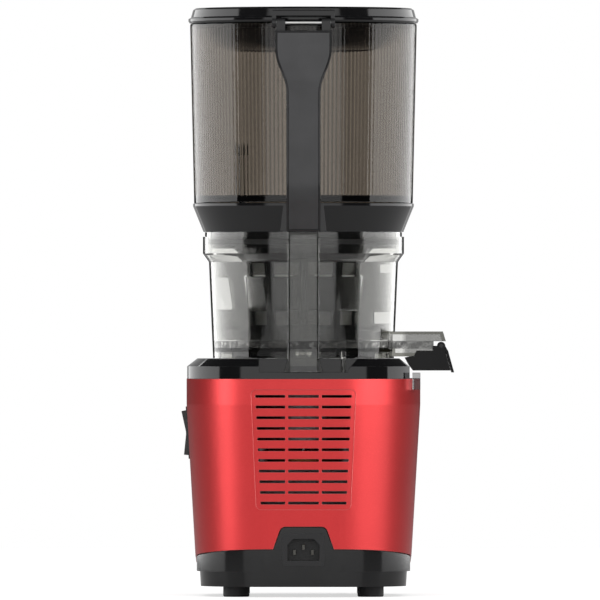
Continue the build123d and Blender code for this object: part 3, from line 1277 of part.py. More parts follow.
with BuildPart() as juicing_bowl:
    neck_inner = BOWL_NECK_RADIUS - 1.8
    revolve(
        turned(
            (BOWL_HUB_BORE, BOWL_FLOOR),
            (BOWL_RADIUS_BOTTOM - BOWL_WALL, BOWL_FLOOR),
            (BOWL_RADIUS_BOTTOM - BOWL_WALL, BOWL_BOTTOM),
            (BOWL_RADIUS_BOTTOM, BOWL_BOTTOM),
            (BOWL_RADIUS_TOP, BOWL_SHOULDER),
            (BOWL_RIM_RADIUS, BOWL_RIM_BOTTOM),
            (BOWL_RIM_RADIUS, BOWL_RIM_TOP),
            (BOWL_NECK_RADIUS, BOWL_RIM_TOP),
            (BOWL_NECK_RADIUS, BOWL_TOP),
            (neck_inner, BOWL_TOP),
            (neck_inner, BOWL_RIM_BOTTOM),
            (BOWL_RADIUS_TOP - BOWL_WALL, BOWL_SHOULDER),
            (bowl_outer(BOWL_INSIDE) - BOWL_WALL, BOWL_INSIDE),
            (BOWL_HUB_OUTER, BOWL_INSIDE),
            (BOWL_HUB_OUTER, BOWL_HUB_TOP),
            (SEAL_RING_OUTER, BOWL_HUB_TOP),
            (SEAL_RING_OUTER, BOWL_HUB_TOP - SEAL_RING_HEIGHT),
            (BOWL_HUB_BORE, BOWL_HUB_TOP - SEAL_RING_HEIGHT),
        ),
        axis=Axis.Z,
    )
    # ledge that the brush cage turns on
    add(tube(RING_OUTER + 1, RING_SEAT_INNER, BOWL_INSIDE, ring_seat - GAP))
    # boss under the idler and posts under the strainer
    add(tube(IDLER_PIN_RADIUS + 3, IDLER_PIN_RADIUS, BOWL_INSIDE, idler_seat, IDLER_CENTRE, 0))
    for x, y in strainer_posts:
        add(tube(STRAINER_POST_RADIUS, 0, BOWL_INSIDE, STRAINER_BOTTOM, x, y))
    # ribs under the floor
    with BuildSketch(Plane.XY.offset(BOWL_BOTTOM + GAP)) as ribs:
        for index in range(BOWL_RIBS):
            rib_turn = 180.0 * (index + 0.5) / BOWL_RIBS
            Rectangle(2 * BOWL_RADIUS_BOTTOM - BOWL_WALL, RIB_THICK, rotation=rib_turn)
        Circle(HUB_OUTER + 2, mode=Mode.SUBTRACT)
    extrude(amount=BOWL_FLOOR - BOWL_BOTTOM - GAP)
    # hollow column at the back, with a flared foot that stands in the cap's notch
    with BuildSketch(Plane.XY.offset(COLUMN_FOOT)):
        with Locations((0, (COLUMN_BACK + COLUMN_FRONT) / 2)):
            RectangleRounded(2 * COLUMN_HALF, COLUMN_BACK - COLUMN_FRONT, COLUMN_CORNER)
    extrude(amount=BOWL_TOP - COLUMN_FOOT)
    with BuildSketch(Plane.XZ.offset(-COLUMN_BACK)):
        with BuildLine():
            Polyline(
                (-COLUMN_FOOT_HALF, COLUMN_FOOT),
                (-COLUMN_HALF, COLUMN_FOOT + COLUMN_FOOT_RISE),
                (COLUMN_HALF, COLUMN_FOOT + COLUMN_FOOT_RISE),
                (COLUMN_FOOT_HALF, COLUMN_FOOT),
                close=True,
            )
        make_face()
    extrude(amount=COLUMN_BACK - COLUMN_FRONT - 3)
    add(tube(neck_inner, 0, BOWL_RIM_BOTTOM, BOWL_TOP), mode=Mode.SUBTRACT)
    revolve(
        turned(
            (bowl_outer(BOWL_INSIDE) - BOWL_WALL, BOWL_INSIDE),
            (BOWL_RADIUS_TOP - BOWL_WALL, BOWL_SHOULDER),
            (BOWL_RADIUS_TOP - BOWL_WALL, BOWL_SHOULDER + 1),
            (RING_OUTER + 2, BOWL_SHOULDER + 1),
            (RING_OUTER + 2, BOWL_INSIDE),
        ),
        axis=Axis.Z,
        mode=Mode.SUBTRACT,
    )
    with BuildSketch(Plane.XY.offset(COLUMN_FOOT)):
        column_room_front = BOWL_RADIUS_TOP + COLUMN_WALL
        with Locations((0, (COLUMN_BACK - COLUMN_WALL + column_room_front) / 2)):
            Rectangle(2 * (COLUMN_HALF - COLUMN_WALL), COLUMN_BACK - COLUMN_WALL - column_room_front)
    extrude(amount=BOWL_TOP - COLUMN_WALL - COLUMN_FOOT, mode=Mode.SUBTRACT)
    # locating peg under the skirt
    add(tube(PEG_RADIUS, 0, CAP_NOTCH_FLOOR + GAP, BOWL_FLOOR, PEG_X, PEG_Y))
    # juice spout: an open-ended box with a hood over its end
    with BuildSketch(Plane.XZ.offset(-SPOUT_HALF)):
        with BuildLine():
            Polyline(*spout_side, close=True)
        make_face()
    extrude(amount=2 * SPOUT_HALF)
    with BuildSketch(Plane.XZ.offset(-SPOUT_HALF + SPOUT_WALL)):
        with BuildLine():
            Polyline(*spout_room, close=True)
        make_face()
    extrude(amount=2 * (SPOUT_HALF - SPOUT_WALL), mode=Mode.SUBTRACT)
    with BuildSketch(Plane.YZ.offset(-BOWL_RADIUS_BOTTOM - 2)):
        with Locations((0, (BOWL_INSIDE + SPOUT_TOP - SPOUT_WALL) / 2)):
            Rectangle(2 * (SPOUT_HALF - SPOUT_WALL), SPOUT_TOP - SPOUT_WALL - BOWL_INSIDE)
    extrude(amount=8, mode=Mode.SUBTRACT)
    # pulp port through the floor and the chute that leads forward from it
    add(tube(PULP_BORE + CHUTE_WALL, 0, BOWL_FLOOR, PULP_TUBE_TOP, 0, -PULP_Y))
    with BuildSketch(Plane.XY.offset(CHUTE_BOTTOM)):
        with Locations((0, -(CHUTE_FRONT + CHUTE_BACK) / 2)):
            Rectangle(2 * CHUTE_HALF, CHUTE_FRONT - CHUTE_BACK)
    extrude(amount=BOWL_FLOOR - CHUTE_BOTTOM)
    with BuildSketch(Plane.XY.offset(CHUTE_BOTTOM + CHUTE_WALL)):
        with Locations((0, -(CHUTE_FRONT + CHUTE_BACK + CHUTE_WALL) / 2)):
            Rectangle(2 * (CHUTE_HALF - CHUTE_WALL), CHUTE_FRONT - CHUTE_BACK - CHUTE_WALL)
    extrude(amount=BOWL_FLOOR - CHUTE_BOTTOM - 2 * CHUTE_WALL, mode=Mode.SUBTRACT)
    add(tube(PULP_BORE, 0, BOWL_FLOOR - 2 * CHUTE_WALL, PULP_TUBE_TOP, 0, -PULP_Y), mode=Mode.SUBTRACT)
    add(tube(PLUG_RADIUS, 0, CHUTE_BOTTOM, CHUTE_BOTTOM + CHUTE_WALL, 0, -PULP_Y), mode=Mode.SUBTRACT)
juicing_bowl.part.label = "juicing_bowl"
export_step(juicing_bowl.part, "parts/juicing_bowl.step")

with BuildPart() as column_magnet:
    # bar magnet held across the column's foot, above the sensor in the base
    with BuildSketch(Plane.XY.offset(MAGNET_BOTTOM)):
        with Locations((0, MAGNET_Y)):
            Rectangle(2 * (COLUMN_HALF - COLUMN_WALL), MAGNET_WIDTH)
    extrude(amount=MAGNET_HEIGHT)
column_magnet.part.label = "column_magnet"
export_step(column_magnet.part, "parts/column_magnet.step")

with BuildPart() as pulp_plug:
    add(tube(PLUG_RADIUS, 0, CHUTE_BOTTOM, CHUTE_BOTTOM + CHUTE_WALL, 0, -PULP_Y))
    add(tube(PLUG_RADIUS + 2, 0, CHUTE_BOTTOM - PLUG_HEAD, CHUTE_BOTTOM, 0, -PULP_Y))
pulp_plug.part.label = "pulp_plug"
export_step(pulp_plug.part, "parts/pulp_plug.step")

with BuildPart() as bowl_shaft_seal:
    add(tube(SEAL_RING_OUTER, SEAL_RING_INNER, BOWL_HUB_TOP - SEAL_RING_HEIGHT, BOWL_HUB_TOP))
bowl_shaft_seal.part.label = "bowl_shaft_seal"
export_step(bowl_shaft_seal.part, "parts/bowl_shaft_seal.step")

with BuildPart() as idler_pin:
    add(tube(IDLER_PIN_RADIUS, 0, BOWL_INSIDE, BOWL_GEAR_TOP, IDLER_CENTRE, 0))
idler_pin.part.label = "idler_pin"
export_step(idler_pin.part, "parts/idler_pin.step")

with BuildPart() as idler_gear:
    add(idler_body)
    add(tube(IDLER_PIN_RADIUS + RUN, 0, BOWL_GEAR_BOTTOM, BOWL_GEAR_TOP, IDLER_CENTRE, 0), mode=Mode.SUBTRACT)
idler_gear.part.label = "idler_gear"
export_step(idler_gear.part, "parts/idler_gear.step")

# ------------------------------------------------------------------ bowl: nozzle and drip flap
flap_lean = tan(radians(FLAP_LEAN))


def flap_line(z, inset):
    """X of the flap's outer face at a height, moved towards the bowl by an inset."""
    return -(FLAP_LINE_X + flap_lean * (FLAP_PIN_Z - z)) + inset / cos(radians(FLAP_LEAN))


nozzle_end = FLAP_THICK + GAP
with BuildPart() as juice_nozzle:
    with BuildSketch(Plane.XZ.offset(-NOZZLE_HALF)):
        with BuildLine():
            Polyline(
                (-NOZZLE_BACK, SPOUT_BOTTOM - NOZZLE_BACK_DROP),
                (-NOZZLE_SADDLE, SPOUT_BOTTOM + NOZZLE_SADDLE_RISE),
                (-NOZZLE_COLLAR, SPOUT_BOTTOM + NOZZLE_COLLAR_RISE),
                (-NOZZLE_EAR_BACK, SPOUT_BOTTOM + NOZZLE_COLLAR_RISE),
                (-NOZZLE_EAR_BACK, FLAP_PIN_Z),
                (flap_line(FLAP_PIN_Z, nozzle_end), FLAP_PIN_Z),
                (flap_line(NOZZLE_BOTTOM, nozzle_end), NOZZLE_BOTTOM),
                (-NOZZLE_FOOT, NOZZLE_BOTTOM),
                (-NOZZLE_HEEL, NOZZLE_BOTTOM + NOZZLE_HEEL_RISE),
                close=True,
            )
        make_face()
        with Locations((-FLAP_PIN_X, FLAP_PIN_Z)):
            Circle(FLAP_EAR_RADIUS)
    extrude(amount=2 * NOZZLE_HALF)
    with BuildSketch(Plane.XZ.offset(-SPOUT_HALF)):
        with BuildLine():
            Polyline(
                (-NOZZLE_THROAT_BACK, SPOUT_TOP),
                (-NOZZLE_THROAT_BACK, SPOUT_BOTTOM - NOZZLE_THROAT_DROP),
                (-NOZZLE_THROAT_FOOT, NOZZLE_BOTTOM + NOZZLE_WALL),
                (-2 * FLAP_PIN_X, NOZZLE_BOTTOM + NOZZLE_WALL),
                (-2 * FLAP_PIN_X, SPOUT_TOP),
                close=True,
            )
        make_face()
    extrude(amount=2 * SPOUT_HALF, mode=Mode.SUBTRACT)
    with BuildSketch(Plane.XZ.offset(-NOZZLE_HALF)):
        with Locations((-FLAP_PIN_X, FLAP_PIN_Z)):
            Circle(FLAP_PIN_RADIUS)
    extrude(amount=2 * NOZZLE_HALF, mode=Mode.SUBTRACT)
juice_nozzle.part.label = "juice_nozzle"
export_step(juice_nozzle.part, "parts/juice_nozzle.step")

with BuildPart() as flap_pin:
    with BuildSketch(Plane.XZ.offset(-NOZZLE_HALF)):
        with Locations((-FLAP_PIN_X, FLAP_PIN_Z)):
            Circle(FLAP_PIN_RADIUS)
    extrude(amount=2 * NOZZLE_HALF)
flap_pin.part.label = "flap_pin"
export_step(flap_pin.part, "parts/flap_pin.step")

flap_top = FLAP_PIN_Z - FLAP_EAR_RADIUS - GAP
with BuildPart() as drip_flap:
    with BuildSketch(Plane.XZ.offset(-NOZZLE_HALF)):
        with BuildLine():
            Polyline(
                (flap_line(flap_top, FLAP_THICK), flap_top),
                (flap_line(flap_top, 0), flap_top),
                (flap_line(FLAP_TIP, 0), FLAP_TIP),
                (flap_line(FLAP_TIP, FLAP_THICK), FLAP_TIP),
                close=True,
            )
        make_face()
    extrude(amount=2 * NOZZLE_HALF)
    for back in (-(SPOUT_HALF - GAP) + FLAP_LUG, SPOUT_HALF - GAP):
        with BuildSketch(Plane.XZ.offset(-back)):
            with BuildLine():
                Polyline(
                    (-FLAP_PIN_X, FLAP_PIN_Z + FLAP_EAR_RADIUS - 0.2),
                    (-FLAP_PIN_X - 1.6, FLAP_PIN_Z + FLAP_EAR_RADIUS - 0.6),
                    (flap_line(flap_top, 0.2), flap_top),
                    (flap_line(flap_top - 3, 0.2), flap_top - 3),
                    (flap_line(flap_top - 3, FLAP_THICK), flap_top - 3),
                    (-FLAP_PIN_X + 1, FLAP_PIN_Z - FLAP_EAR_RADIUS + 0.2),
                    close=True,
                )
            make_face()
            with Locations((-FLAP_PIN_X, FLAP_PIN_Z)):
                Circle(FLAP_EAR_RADIUS - 0.2)
        extrude(amount=FLAP_LUG)
    with BuildSketch(Plane.XZ.offset(-NOZZLE_HALF)):
        with Locations((-FLAP_PIN_X, FLAP_PIN_Z)):
            Circle(FLAP_PIN_RADIUS + RUN)
    extrude(amount=2 * NOZZLE_HALF, mode=Mode.SUBTRACT)
drip_flap.part.label = "drip_flap"
export_step(drip_flap.part, "parts/drip_flap.step")

# ------------------------------------------------------------------ bowl: strainer
strainer_inner_bottom = strainer_outer(STRAINER_BOTTOM + STRAINER_FLOOR) - STRAINER_WALL
with BuildPart() as strainer_frame:
    revolve(
        turned(
            (STRAINER_BORE, STRAINER_BOTTOM),
            (STRAINER_R_BOTTOM, STRAINER_BOTTOM),
            (STRAINER_R_TOP, STRAINER_TOP),
            (STRAINER_R_TOP - STRAINER_WALL, STRAINER_TOP),
            (strainer_inner_bottom, STRAINER_BOTTOM + STRAINER_FLOOR),
            (STRAINER_BORE, STRAINER_BOTTOM + STRAINER_FLOOR),
        ),
        axis=Axis.Z,
    )
    for low, high in (UPPER_WINDOW, LOWER_WINDOW):
        for index in range(STRAINER_WINDOWS):
            add(wedge(index * 360 / STRAINER_WINDOWS, WINDOW_ANGLE, low, high), mode=Mode.SUBTRACT)
    add(tube(PULP_BORE, 0, STRAINER_BOTTOM, STRAINER_BOTTOM + STRAINER_FLOOR, 0, -PULP_Y), mode=Mode.SUBTRACT)
strainer_frame.part.label = "strainer_frame"
export_step(strainer_frame.part, "parts/strainer_frame.step")

with BuildPart() as strainer_mesh:
    mesh_low = LOWER_WINDOW[0] - 0.8
    mesh_high = UPPER_WINDOW[1] + 1.4
    mesh_inset = STRAINER_WALL
    revolve(
        turned(
            (strainer_outer(mesh_low) - mesh_inset, mesh_low),
            (strainer_outer(mesh_high) - mesh_inset, mesh_high),
            (strainer_outer(mesh_high) - mesh_inset - MESH_THICK, mesh_high),
            (strainer_outer(mesh_low) - mesh_inset - MESH_THICK, mesh_low),
        ),
        axis=Axis.Z,
    )
strainer_mesh.part.label = "strainer_mesh"
export_step(strainer_mesh.part, "parts/strainer_mesh.step")

# ------------------------------------------------------------------ bowl: brush cage and wipers
ring_phase = 180.0 / RING_TEETH
ring_cutter = gear_plan(
    Plane.XY.offset(ring_seat),
    BOWL_MODULE,
    RING_TEETH,
    RING_PITCH_RADIUS - RING_ADDENDUM * BOWL_MODULE,
    RING_PITCH_RADIUS + DEDENDUM * BOWL_MODULE,
    -BOWL_BACKLASH,
    ring_phase,
)
cage_disc_bottom = STRAINER_BOTTOM
with BuildPart() as drains:
    # drain openings in the cage's disc
    for index in range(CAGE_DRAINS):
        angle = 360 * index / CAGE_DRAINS
        add(wedge(angle, CAGE_DRAIN_ANGLE, cage_disc_bottom, cage_disc_bottom + CAGE_DISC))
    add(tube(RING_OUTER + 1, 0, cage_disc_bottom, cage_disc_bottom + CAGE_DISC), mode=Mode.SUBTRACT)
    add(tube(CAGE_OUTER - CAGE_WALL - 1, 0, cage_disc_bottom, CAGE_TOP), mode=Mode.INTERSECT)

with BuildPart() as cage_windows:
    # the wide windows pass through the back and the front of the cage
    with BuildSketch(Plane.XZ):
        for side in (-1, 1):
            with BuildLine():
                Polyline(
                    (side * CAGE_CARRIER_POST, CAGE_WIDE_WINDOW[0]),
                    (side * CAGE_WIDE_REACH[0], CAGE_WIDE_WINDOW[0]),
                    (side * CAGE_WIDE_REACH[1], CAGE_WIDE_WINDOW[1]),
                    (side * CAGE_CARRIER_POST, CAGE_WIDE_WINDOW[1]),
                    close=True,
                )
            make_face()
        with BuildLine():
            Polyline(
                (CAGE_SIDE_START[0], CAGE_SIDE_WINDOW[0]),
                (CAGE_OUTER + 2 * CAGE_WINDOW_CORNER, CAGE_SIDE_WINDOW[0]),
                (CAGE_OUTER + 2 * CAGE_WINDOW_CORNER, CAGE_SIDE_WINDOW[1]),
                (CAGE_SIDE_START[1], CAGE_SIDE_WINDOW[1]),
                close=True,
            )
        make_face()
        fillet(vertices(), CAGE_WINDOW_CORNER)
    extrude(amount=CAGE_OUTER + 1, both=True)

with BuildPart() as brush_cage:
    add(tube(RING_OUTER, 0, ring_seat, cage_disc_bottom))
    extrude(ring_cutter, amount=cage_disc_bottom - ring_seat, mode=Mode.SUBTRACT)
    add(tube(CAGE_OUTER, CAGE_INNER, cage_disc_bottom, cage_disc_bottom + CAGE_DISC))
    add(tube(CAGE_OUTER, CAGE_OUTER - CAGE_WALL, cage_disc_bottom, CAGE_TOP))
    add(tube(CAGE_SKIRT_OUTER, CAGE_OUTER - CAGE_WALL, CAGE_SKIRT_BOTTOM, cage_disc_bottom + CAGE_DISC))
    add(drains.part, mode=Mode.SUBTRACT)
    add(cage_windows.part, mode=Mode.SUBTRACT)
    add(wedge(CAGE_SLOT_SIDE, CAGE_HIGH_SLOT_ANGLE, *CAGE_HIGH_SLOT), mode=Mode.SUBTRACT)
    add(wedge(CAGE_SLOT_SIDE, CAGE_LOW_SLOT_ANGLE, *CAGE_LOW_SLOT), mode=Mode.SUBTRACT)
    # carriers that hold the wipers
    for angle in CARRIER_ANGLES:
        with BuildSketch(Plane.XY.offset(cage_disc_bottom)):
            with Locations(Location((0, 0, 0), (0, 0, angle))):
                with Locations(((CARRIER_INNER + CAGE_OUTER - 1) / 2, 0)):
                    Rectangle(CAGE_OUTER - 1 - CARRIER_INNER, CARRIER_WIDTH)
        extrude(amount=CAGE_TOP - cage_disc_bottom)
        with BuildSketch(Plane.XY.offset(WIPER_BOTTOM)):
            with Locations(Location((0, 0, 0), (0, 0, angle))):
                with Locations((CARRIER_INNER + 1.5, 0)):
                    Rectangle(5, WIPER_THICK)
        extrude(amount=WIPER_TOP - WIPER_BOTTOM, mode=Mode.SUBTRACT)
brush_cage.part.label = "brush_cage"
export_step(brush_cage.part, "parts/brush_cage.step")

with BuildPart() as brush_wipers:
    for angle in CARRIER_ANGLES:
        outward = Vector(cos(radians(angle)), sin(radians(angle)), 0)
        across = Vector(sin(radians(angle)), -cos(radians(angle)), 0)
        with BuildSketch(Plane((0, 0, 0), x_dir=outward, z_dir=across).offset(-WIPER_THICK / 2)):
            with BuildLine():
                Polyline(
                    (strainer_outer(WIPER_BOTTOM) + WIPER_PLAY, WIPER_BOTTOM),
                    (CARRIER_INNER + 4, WIPER_BOTTOM),
                    (CARRIER_INNER + 4, WIPER_TOP),
                    (strainer_outer(WIPER_TOP) + WIPER_PLAY, WIPER_TOP),
                    close=True,
                )
            make_face()
        extrude(amount=WIPER_THICK)
brush_wipers.part.label = "brush_wipers"
export_step(brush_wipers.part, "parts/brush_wipers.step")

# ------------------------------------------------------------------ bowl: auger
def auger_limit(z):
    """Outer radius of the auger's flight at a height, just inside the strainer's mesh."""
    return strainer_outer(z) - STRAINER_WALL - MESH_THICK - AUGER_PLAY


flight_start = FLIGHT_BOTTOM + FLIGHT_THICK / 2
flight_rise = FLIGHT_TOP - FLIGHT_BOTTOM - FLIGHT_THICK
with BuildPart() as flight:
    with BuildLine():
        Helix(FLIGHT_PITCH, flight_rise, FLIGHT_INNER, center=(0, 0, flight_start))
    with BuildSketch(Plane.XZ):
        with Locations(((FLIGHT_INNER + STRAINER_R_TOP) / 2, flight_start)):
            Rectangle(STRAINER_R_TOP - FLIGHT_INNER, FLIGHT_THICK)
    sweep(is_frenet=True)
    # trimmed to the strainer's taper
    revolve(
        turned(
            (0, FLIGHT_BOTTOM - 1),
            (auger_limit(FLIGHT_BOTTOM - 1), FLIGHT_BOTTOM - 1),
            (auger_limit(FLIGHT_TOP + 1), FLIGHT_TOP + 1),
            (0, FLIGHT_TOP + 1),
        ),
        axis=Axis.Z,
        mode=Mode.INTERSECT,
    )

with BuildPart() as auger:
    add(auger_gear)
    revolve(
        turned(
            (0, BOWL_GEAR_TOP),
            (AUGER_COLLAR, BOWL_GEAR_TOP),
            (AUGER_COLLAR, STRAINER_BOTTOM + STRAINER_FLOOR + GAP),
            (AUGER_CORE_BOTTOM, STRAINER_BOTTOM + STRAINER_FLOOR + GAP),
            (AUGER_CORE_TOP, FLIGHT_TOP - 4),
            (AUGER_CORE_TOP, AUGER_TOP),
            (0, AUGER_TOP),
        ),
        axis=Axis.Z,
    )
    add(flight.part, rotation=(0, 0, FLIGHT_START_ANGLE))
    with BuildSketch(Plane.XY.offset(AUGER_TOP)):
        RegularPolygon(SPINDLE_ACROSS / sqrt(3), 6)
    extrude(amount=SPINDLE_TOP - AUGER_TOP)
    add(tube(INSERT_RADIUS, 0, BOWL_GEAR_BOTTOM, INSERT_TOP), mode=Mode.SUBTRACT)
auger.part.label = "auger"
export_step(auger.part, "parts/auger.step")

with BuildPart() as auger_insert:
    add(tube(INSERT_RADIUS, 0, BOWL_GEAR_BOTTOM, INSERT_TOP))
    with BuildSketch(Plane.XY.offset(BOWL_GEAR_BOTTOM)):
        RegularPolygon((HEX_ACROSS / 2 + HEX_PLAY) * 2 / sqrt(3), 6)
    extrude(amount=HEX_TOP + GAP - BOWL_GEAR_BOTTOM, mode=Mode.SUBTRACT)
auger_insert.part.label = "auger_insert"
export_step(auger_insert.part, "parts/auger_insert.step")

# ------------------------------------------------------------------ hopper: cutting wing
with BuildPart() as cutting_wing:
    add(tube(WING_HUB, 0, AUGER_TOP + GAP, WING_HUB_TOP))
    fillet(cutting_wing.edges().group_by(Axis.Z)[-1], radius=5)
    # arm and upright prong, drawn from the side
    with BuildSketch(Plane.XZ.offset(-WING_ARM_WIDTH / 2)):
        with BuildLine():
            Polyline(
                (0, WING_ARM_BOTTOM),
                (WING_IN - 10, WING_ARM_BOTTOM),
                (WING_IN - 2, WING_FOOT),
                (WING_OUT, WING_FOOT),
                (WING_OUT, WING_TIP - 2),
                (WING_OUT - 1.5, WING_TIP),
                (WING_IN + 2.0, WING_TIP - 1),
                (WING_IN, WING_TIP - 4),
                (WING_IN, WING_ARM_TOP + 6),
                (WING_IN - 6, WING_ARM_TOP),
                (0, WING_ARM_TOP),
                close=True,
            )
        make_face()
    extrude(amount=WING_ARM_WIDTH)
    # seats of the two steel blades
    for x in (WING_OUT - WING_BLADE_THICK, WING_IN):
        with BuildSketch(Plane.YZ.offset(x)):
            with Locations((0, (WING_BLADE_BOTTOM + WING_BLADE_TOP) / 2)):
                Rectangle(WING_ARM_WIDTH, WING_BLADE_TOP - WING_BLADE_BOTTOM)
        extrude(amount=WING_BLADE_THICK, mode=Mode.SUBTRACT)
    with BuildSketch(Plane.XY.offset(AUGER_TOP)):
        RegularPolygon((SPINDLE_ACROSS / 2 + HEX_PLAY) * 2 / sqrt(3), 6)
    extrude(amount=SPINDLE_TOP + GAP - AUGER_TOP, mode=Mode.SUBTRACT)
cutting_wing.part.label = "cutting_wing"
export_step(cutting_wing.part, "parts/cutting_wing.step")

with BuildPart() as wing_blades:
    for x in (WING_OUT - WING_BLADE_THICK, WING_IN):
        with BuildSketch(Plane.YZ.offset(x)):
            with Locations((0, (WING_BLADE_BOTTOM + WING_BLADE_TOP) / 2)):
                Rectangle(WING_ARM_WIDTH, WING_BLADE_TOP - WING_BLADE_BOTTOM)
        extrude(amount=WING_BLADE_THICK)
wing_blades.part.label = "wing_blades"
export_step(wing_blades.part, "parts/wing_blades.step")

# ------------------------------------------------------------------ hopper: base ring and wall
def wall_outer(z):
    """Outer radius of the hopper's clear wall at a height."""
    return WALL_R_BOTTOM + (z - RING_TOP) / (WALL_TOP - RING_TOP) * (WALL_R_TOP - WALL_R_BOTTOM)


def funnel_top(radius):
    """Height of the funnel's upper face at a radius."""
    slope = (FUNNEL_TOP - FUNNEL_BOTTOM) / (FUNNEL_R_TOP - THROAT_RADIUS)
    return FUNNEL_BOTTOM + (radius - THROAT_RADIUS) * slope


neck_inside = NECK_RADIUS - NECK_WALL
throat_outer = THROAT_RADIUS + THROAT_LIP
with BuildPart() as hopper_base_ring:
    # mounting boss for the handle, trapezoid when seen from behind
    with BuildSketch(Plane.XZ.offset(-BOSS_BACK)):
        with BuildLine():
            Polyline(
                (-BOSS_HALF_BOTTOM, RING_BOTTOM),
                (-BOSS_HALF_TOP, RING_TOP),
                (BOSS_HALF_TOP, RING_TOP),
                (BOSS_HALF_BOTTOM, RING_BOTTOM),
                close=True,
            )
        make_face()
    extrude(amount=BOSS_BACK - NECK_RADIUS)
    revolve(
        turned(
            (0, RING_BOTTOM),
            (RING_R_BOTTOM, RING_BOTTOM),
            (RING_R_TOP, RING_CONE_TOP),
            (RING_R_TOP, RING_TOP),
            (0, RING_TOP),
        ),
        axis=Axis.Z,
        mode=Mode.SUBTRACT,
    )
    revolve(
        turned(
            (THROAT_RADIUS, THROAT_BOTTOM),
            (THROAT_RADIUS, FUNNEL_BOTTOM),
            (FUNNEL_R_TOP, FUNNEL_TOP),
            (SEAT_RADIUS, FUNNEL_TOP),
            (SEAT_RADIUS, RING_TOP),
            (RING_R_TOP, RING_TOP),
            (RING_R_TOP, RING_CONE_TOP),
            (RING_R_BOTTOM, RING_BOTTOM),
            (NECK_RADIUS, RING_BOTTOM),
            (NECK_RADIUS, NECK_BOTTOM),
            (neck_inside, NECK_BOTTOM),
            (neck_inside, funnel_top(neck_inside) - FUNNEL_THICK),
            (throat_outer, funnel_top(throat_outer) - FUNNEL_THICK),
            (throat_outer, THROAT_BOTTOM),
        ),
        axis=Axis.Z,
    )
    add(
        tube(NECK_RADIUS + 1, NECK_RADIUS - 1.2, GASKET_BOTTOM, GASKET_BOTTOM + GASKET_HEIGHT),
        mode=Mode.SUBTRACT,
    )
    with BuildSketch(Plane.XZ.offset(-BOSS_BACK)):
        with Locations(*[(0, z) for z in FOOT_SCREWS_Z]):
            Circle(HANDLE_SCREW)
    extrude(amount=HANDLE_SCREW_GRIP, mode=Mode.SUBTRACT)
hopper_base_ring.part.label = "hopper_base_ring"
export_step(hopper_base_ring.part, "parts/hopper_base_ring.step")

with BuildPart() as hopper_gasket:
    gasket_outer = BOWL_NECK_RADIUS - 1.8 - GAP
    add(tube(gasket_outer, NECK_RADIUS - 1.2, GASKET_BOTTOM, GASKET_BOTTOM + GASKET_HEIGHT))
hopper_gasket.part.label = "hopper_gasket"
export_step(hopper_gasket.part, "parts/hopper_gasket.step")

wall_foot_end = WALL_FOOT_TOP + WALL_THICK
with BuildPart() as hopper_wall:
    # boss that the handle's head is screwed to
    with BuildSketch(Plane.XZ.offset(-RIM_BOSS_BACK)):
        with Locations((0, (RIM_BOSS_BOTTOM + RIM_BOSS_TOP) / 2)):
            Rectangle(2 * RIM_BOSS_HALF, RIM_BOSS_TOP - RIM_BOSS_BOTTOM)
    extrude(amount=RIM_BOSS_BACK - WALL_R_BOTTOM + 4)
    add(tube(WALL_R_BOTTOM + 1, 0, RIM_BOSS_BOTTOM, RIM_BOSS_TOP), mode=Mode.SUBTRACT)
    revolve(
        turned(
            (SEAT_RADIUS - WALL_THICK, FUNNEL_TOP),
            (SEAT_RADIUS, FUNNEL_TOP),
            (SEAT_RADIUS, RING_TOP),
            (wall_outer(RING_TOP), RING_TOP),
            (WALL_R_TOP, WALL_TOP),
            (WALL_R_TOP - WALL_THICK, WALL_TOP),
            (wall_outer(wall_foot_end) - WALL_THICK, wall_foot_end),
            (SEAT_RADIUS - WALL_THICK, WALL_FOOT_TOP),
        ),
        axis=Axis.Z,
    )
    with BuildSketch(Plane.XZ.offset(-RIM_BOSS_BACK)):
        with Locations((-RIM_SCREW_X, RIM_SCREW_Z), (RIM_SCREW_X, RIM_SCREW_Z)):
            Circle(HANDLE_SCREW)
    extrude(amount=HANDLE_SCREW_GRIP, mode=Mode.SUBTRACT)
hopper_wall.part.label = "hopper_wall"
export_step(hopper_wall.part, "parts/hopper_wall.step")

# ------------------------------------------------------------------ hopper: handle
def handle_face(plane, inset, top):
    """Handle seen from behind: straight grip that swells into the head by an S-curve."""
    neck = HANDLE_NECK_HALF - inset
    head = HANDLE_HEAD_HALF - inset
    with BuildSketch(plane) as face:
        with BuildLine():
            Line((0, RING_BOTTOM), (neck, RING_BOTTOM))
            Line((neck, RING_BOTTOM), (neck, HANDLE_NECK_TOP))
            Spline((neck, HANDLE_NECK_TOP), (head, HANDLE_HEAD_FROM), tangents=((0, 1), (0, 1)))
            Line((head, HANDLE_HEAD_FROM), (head, top))
            Line((head, top), (0, top))
            mirror(about=Plane.YZ)
        make_face()
    return face.sketch


def handle_side(plane, outer_depth, inner_depth):
    """Band of the handle's side profile between two depths below its back face."""
    with BuildSketch(plane) as side:
        with BuildLine():
            ends = []
            for depth in (outer_depth, inner_depth):
                line = FilletPolyline(
                    (HANDLE_FOOT_BACK - depth, RING_BOTTOM),
                    (HANDLE_BACK - depth, HANDLE_BEND_LOW + depth / 3),
                    (HANDLE_BACK - depth, HANDLE_BEND_HIGH - depth / 3),
                    (HANDLE_TOP_BACK - depth, HANDLE_TOP),
                    radius=HANDLE_BEND_RADIUS - depth,
                )
                ends.append((line @ 0, line @ 1))
            Line(ends[0][0], ends[1][0])
            Line(ends[0][1], ends[1][1])
        make_face()
    return side.sketch


face_plane = Plane.XZ.offset(-HANDLE_BACK - 10)
side_plane = Plane.YZ.offset(-HANDLE_HEAD_HALF - 1)
side_width = 2 * (HANDLE_HEAD_HALF + 1)
screw_spots = [(-RIM_SCREW_X, RIM_SCREW_Z), (RIM_SCREW_X, RIM_SCREW_Z)]
foot_spots = [(0, z) for z in FOOT_SCREWS_Z]

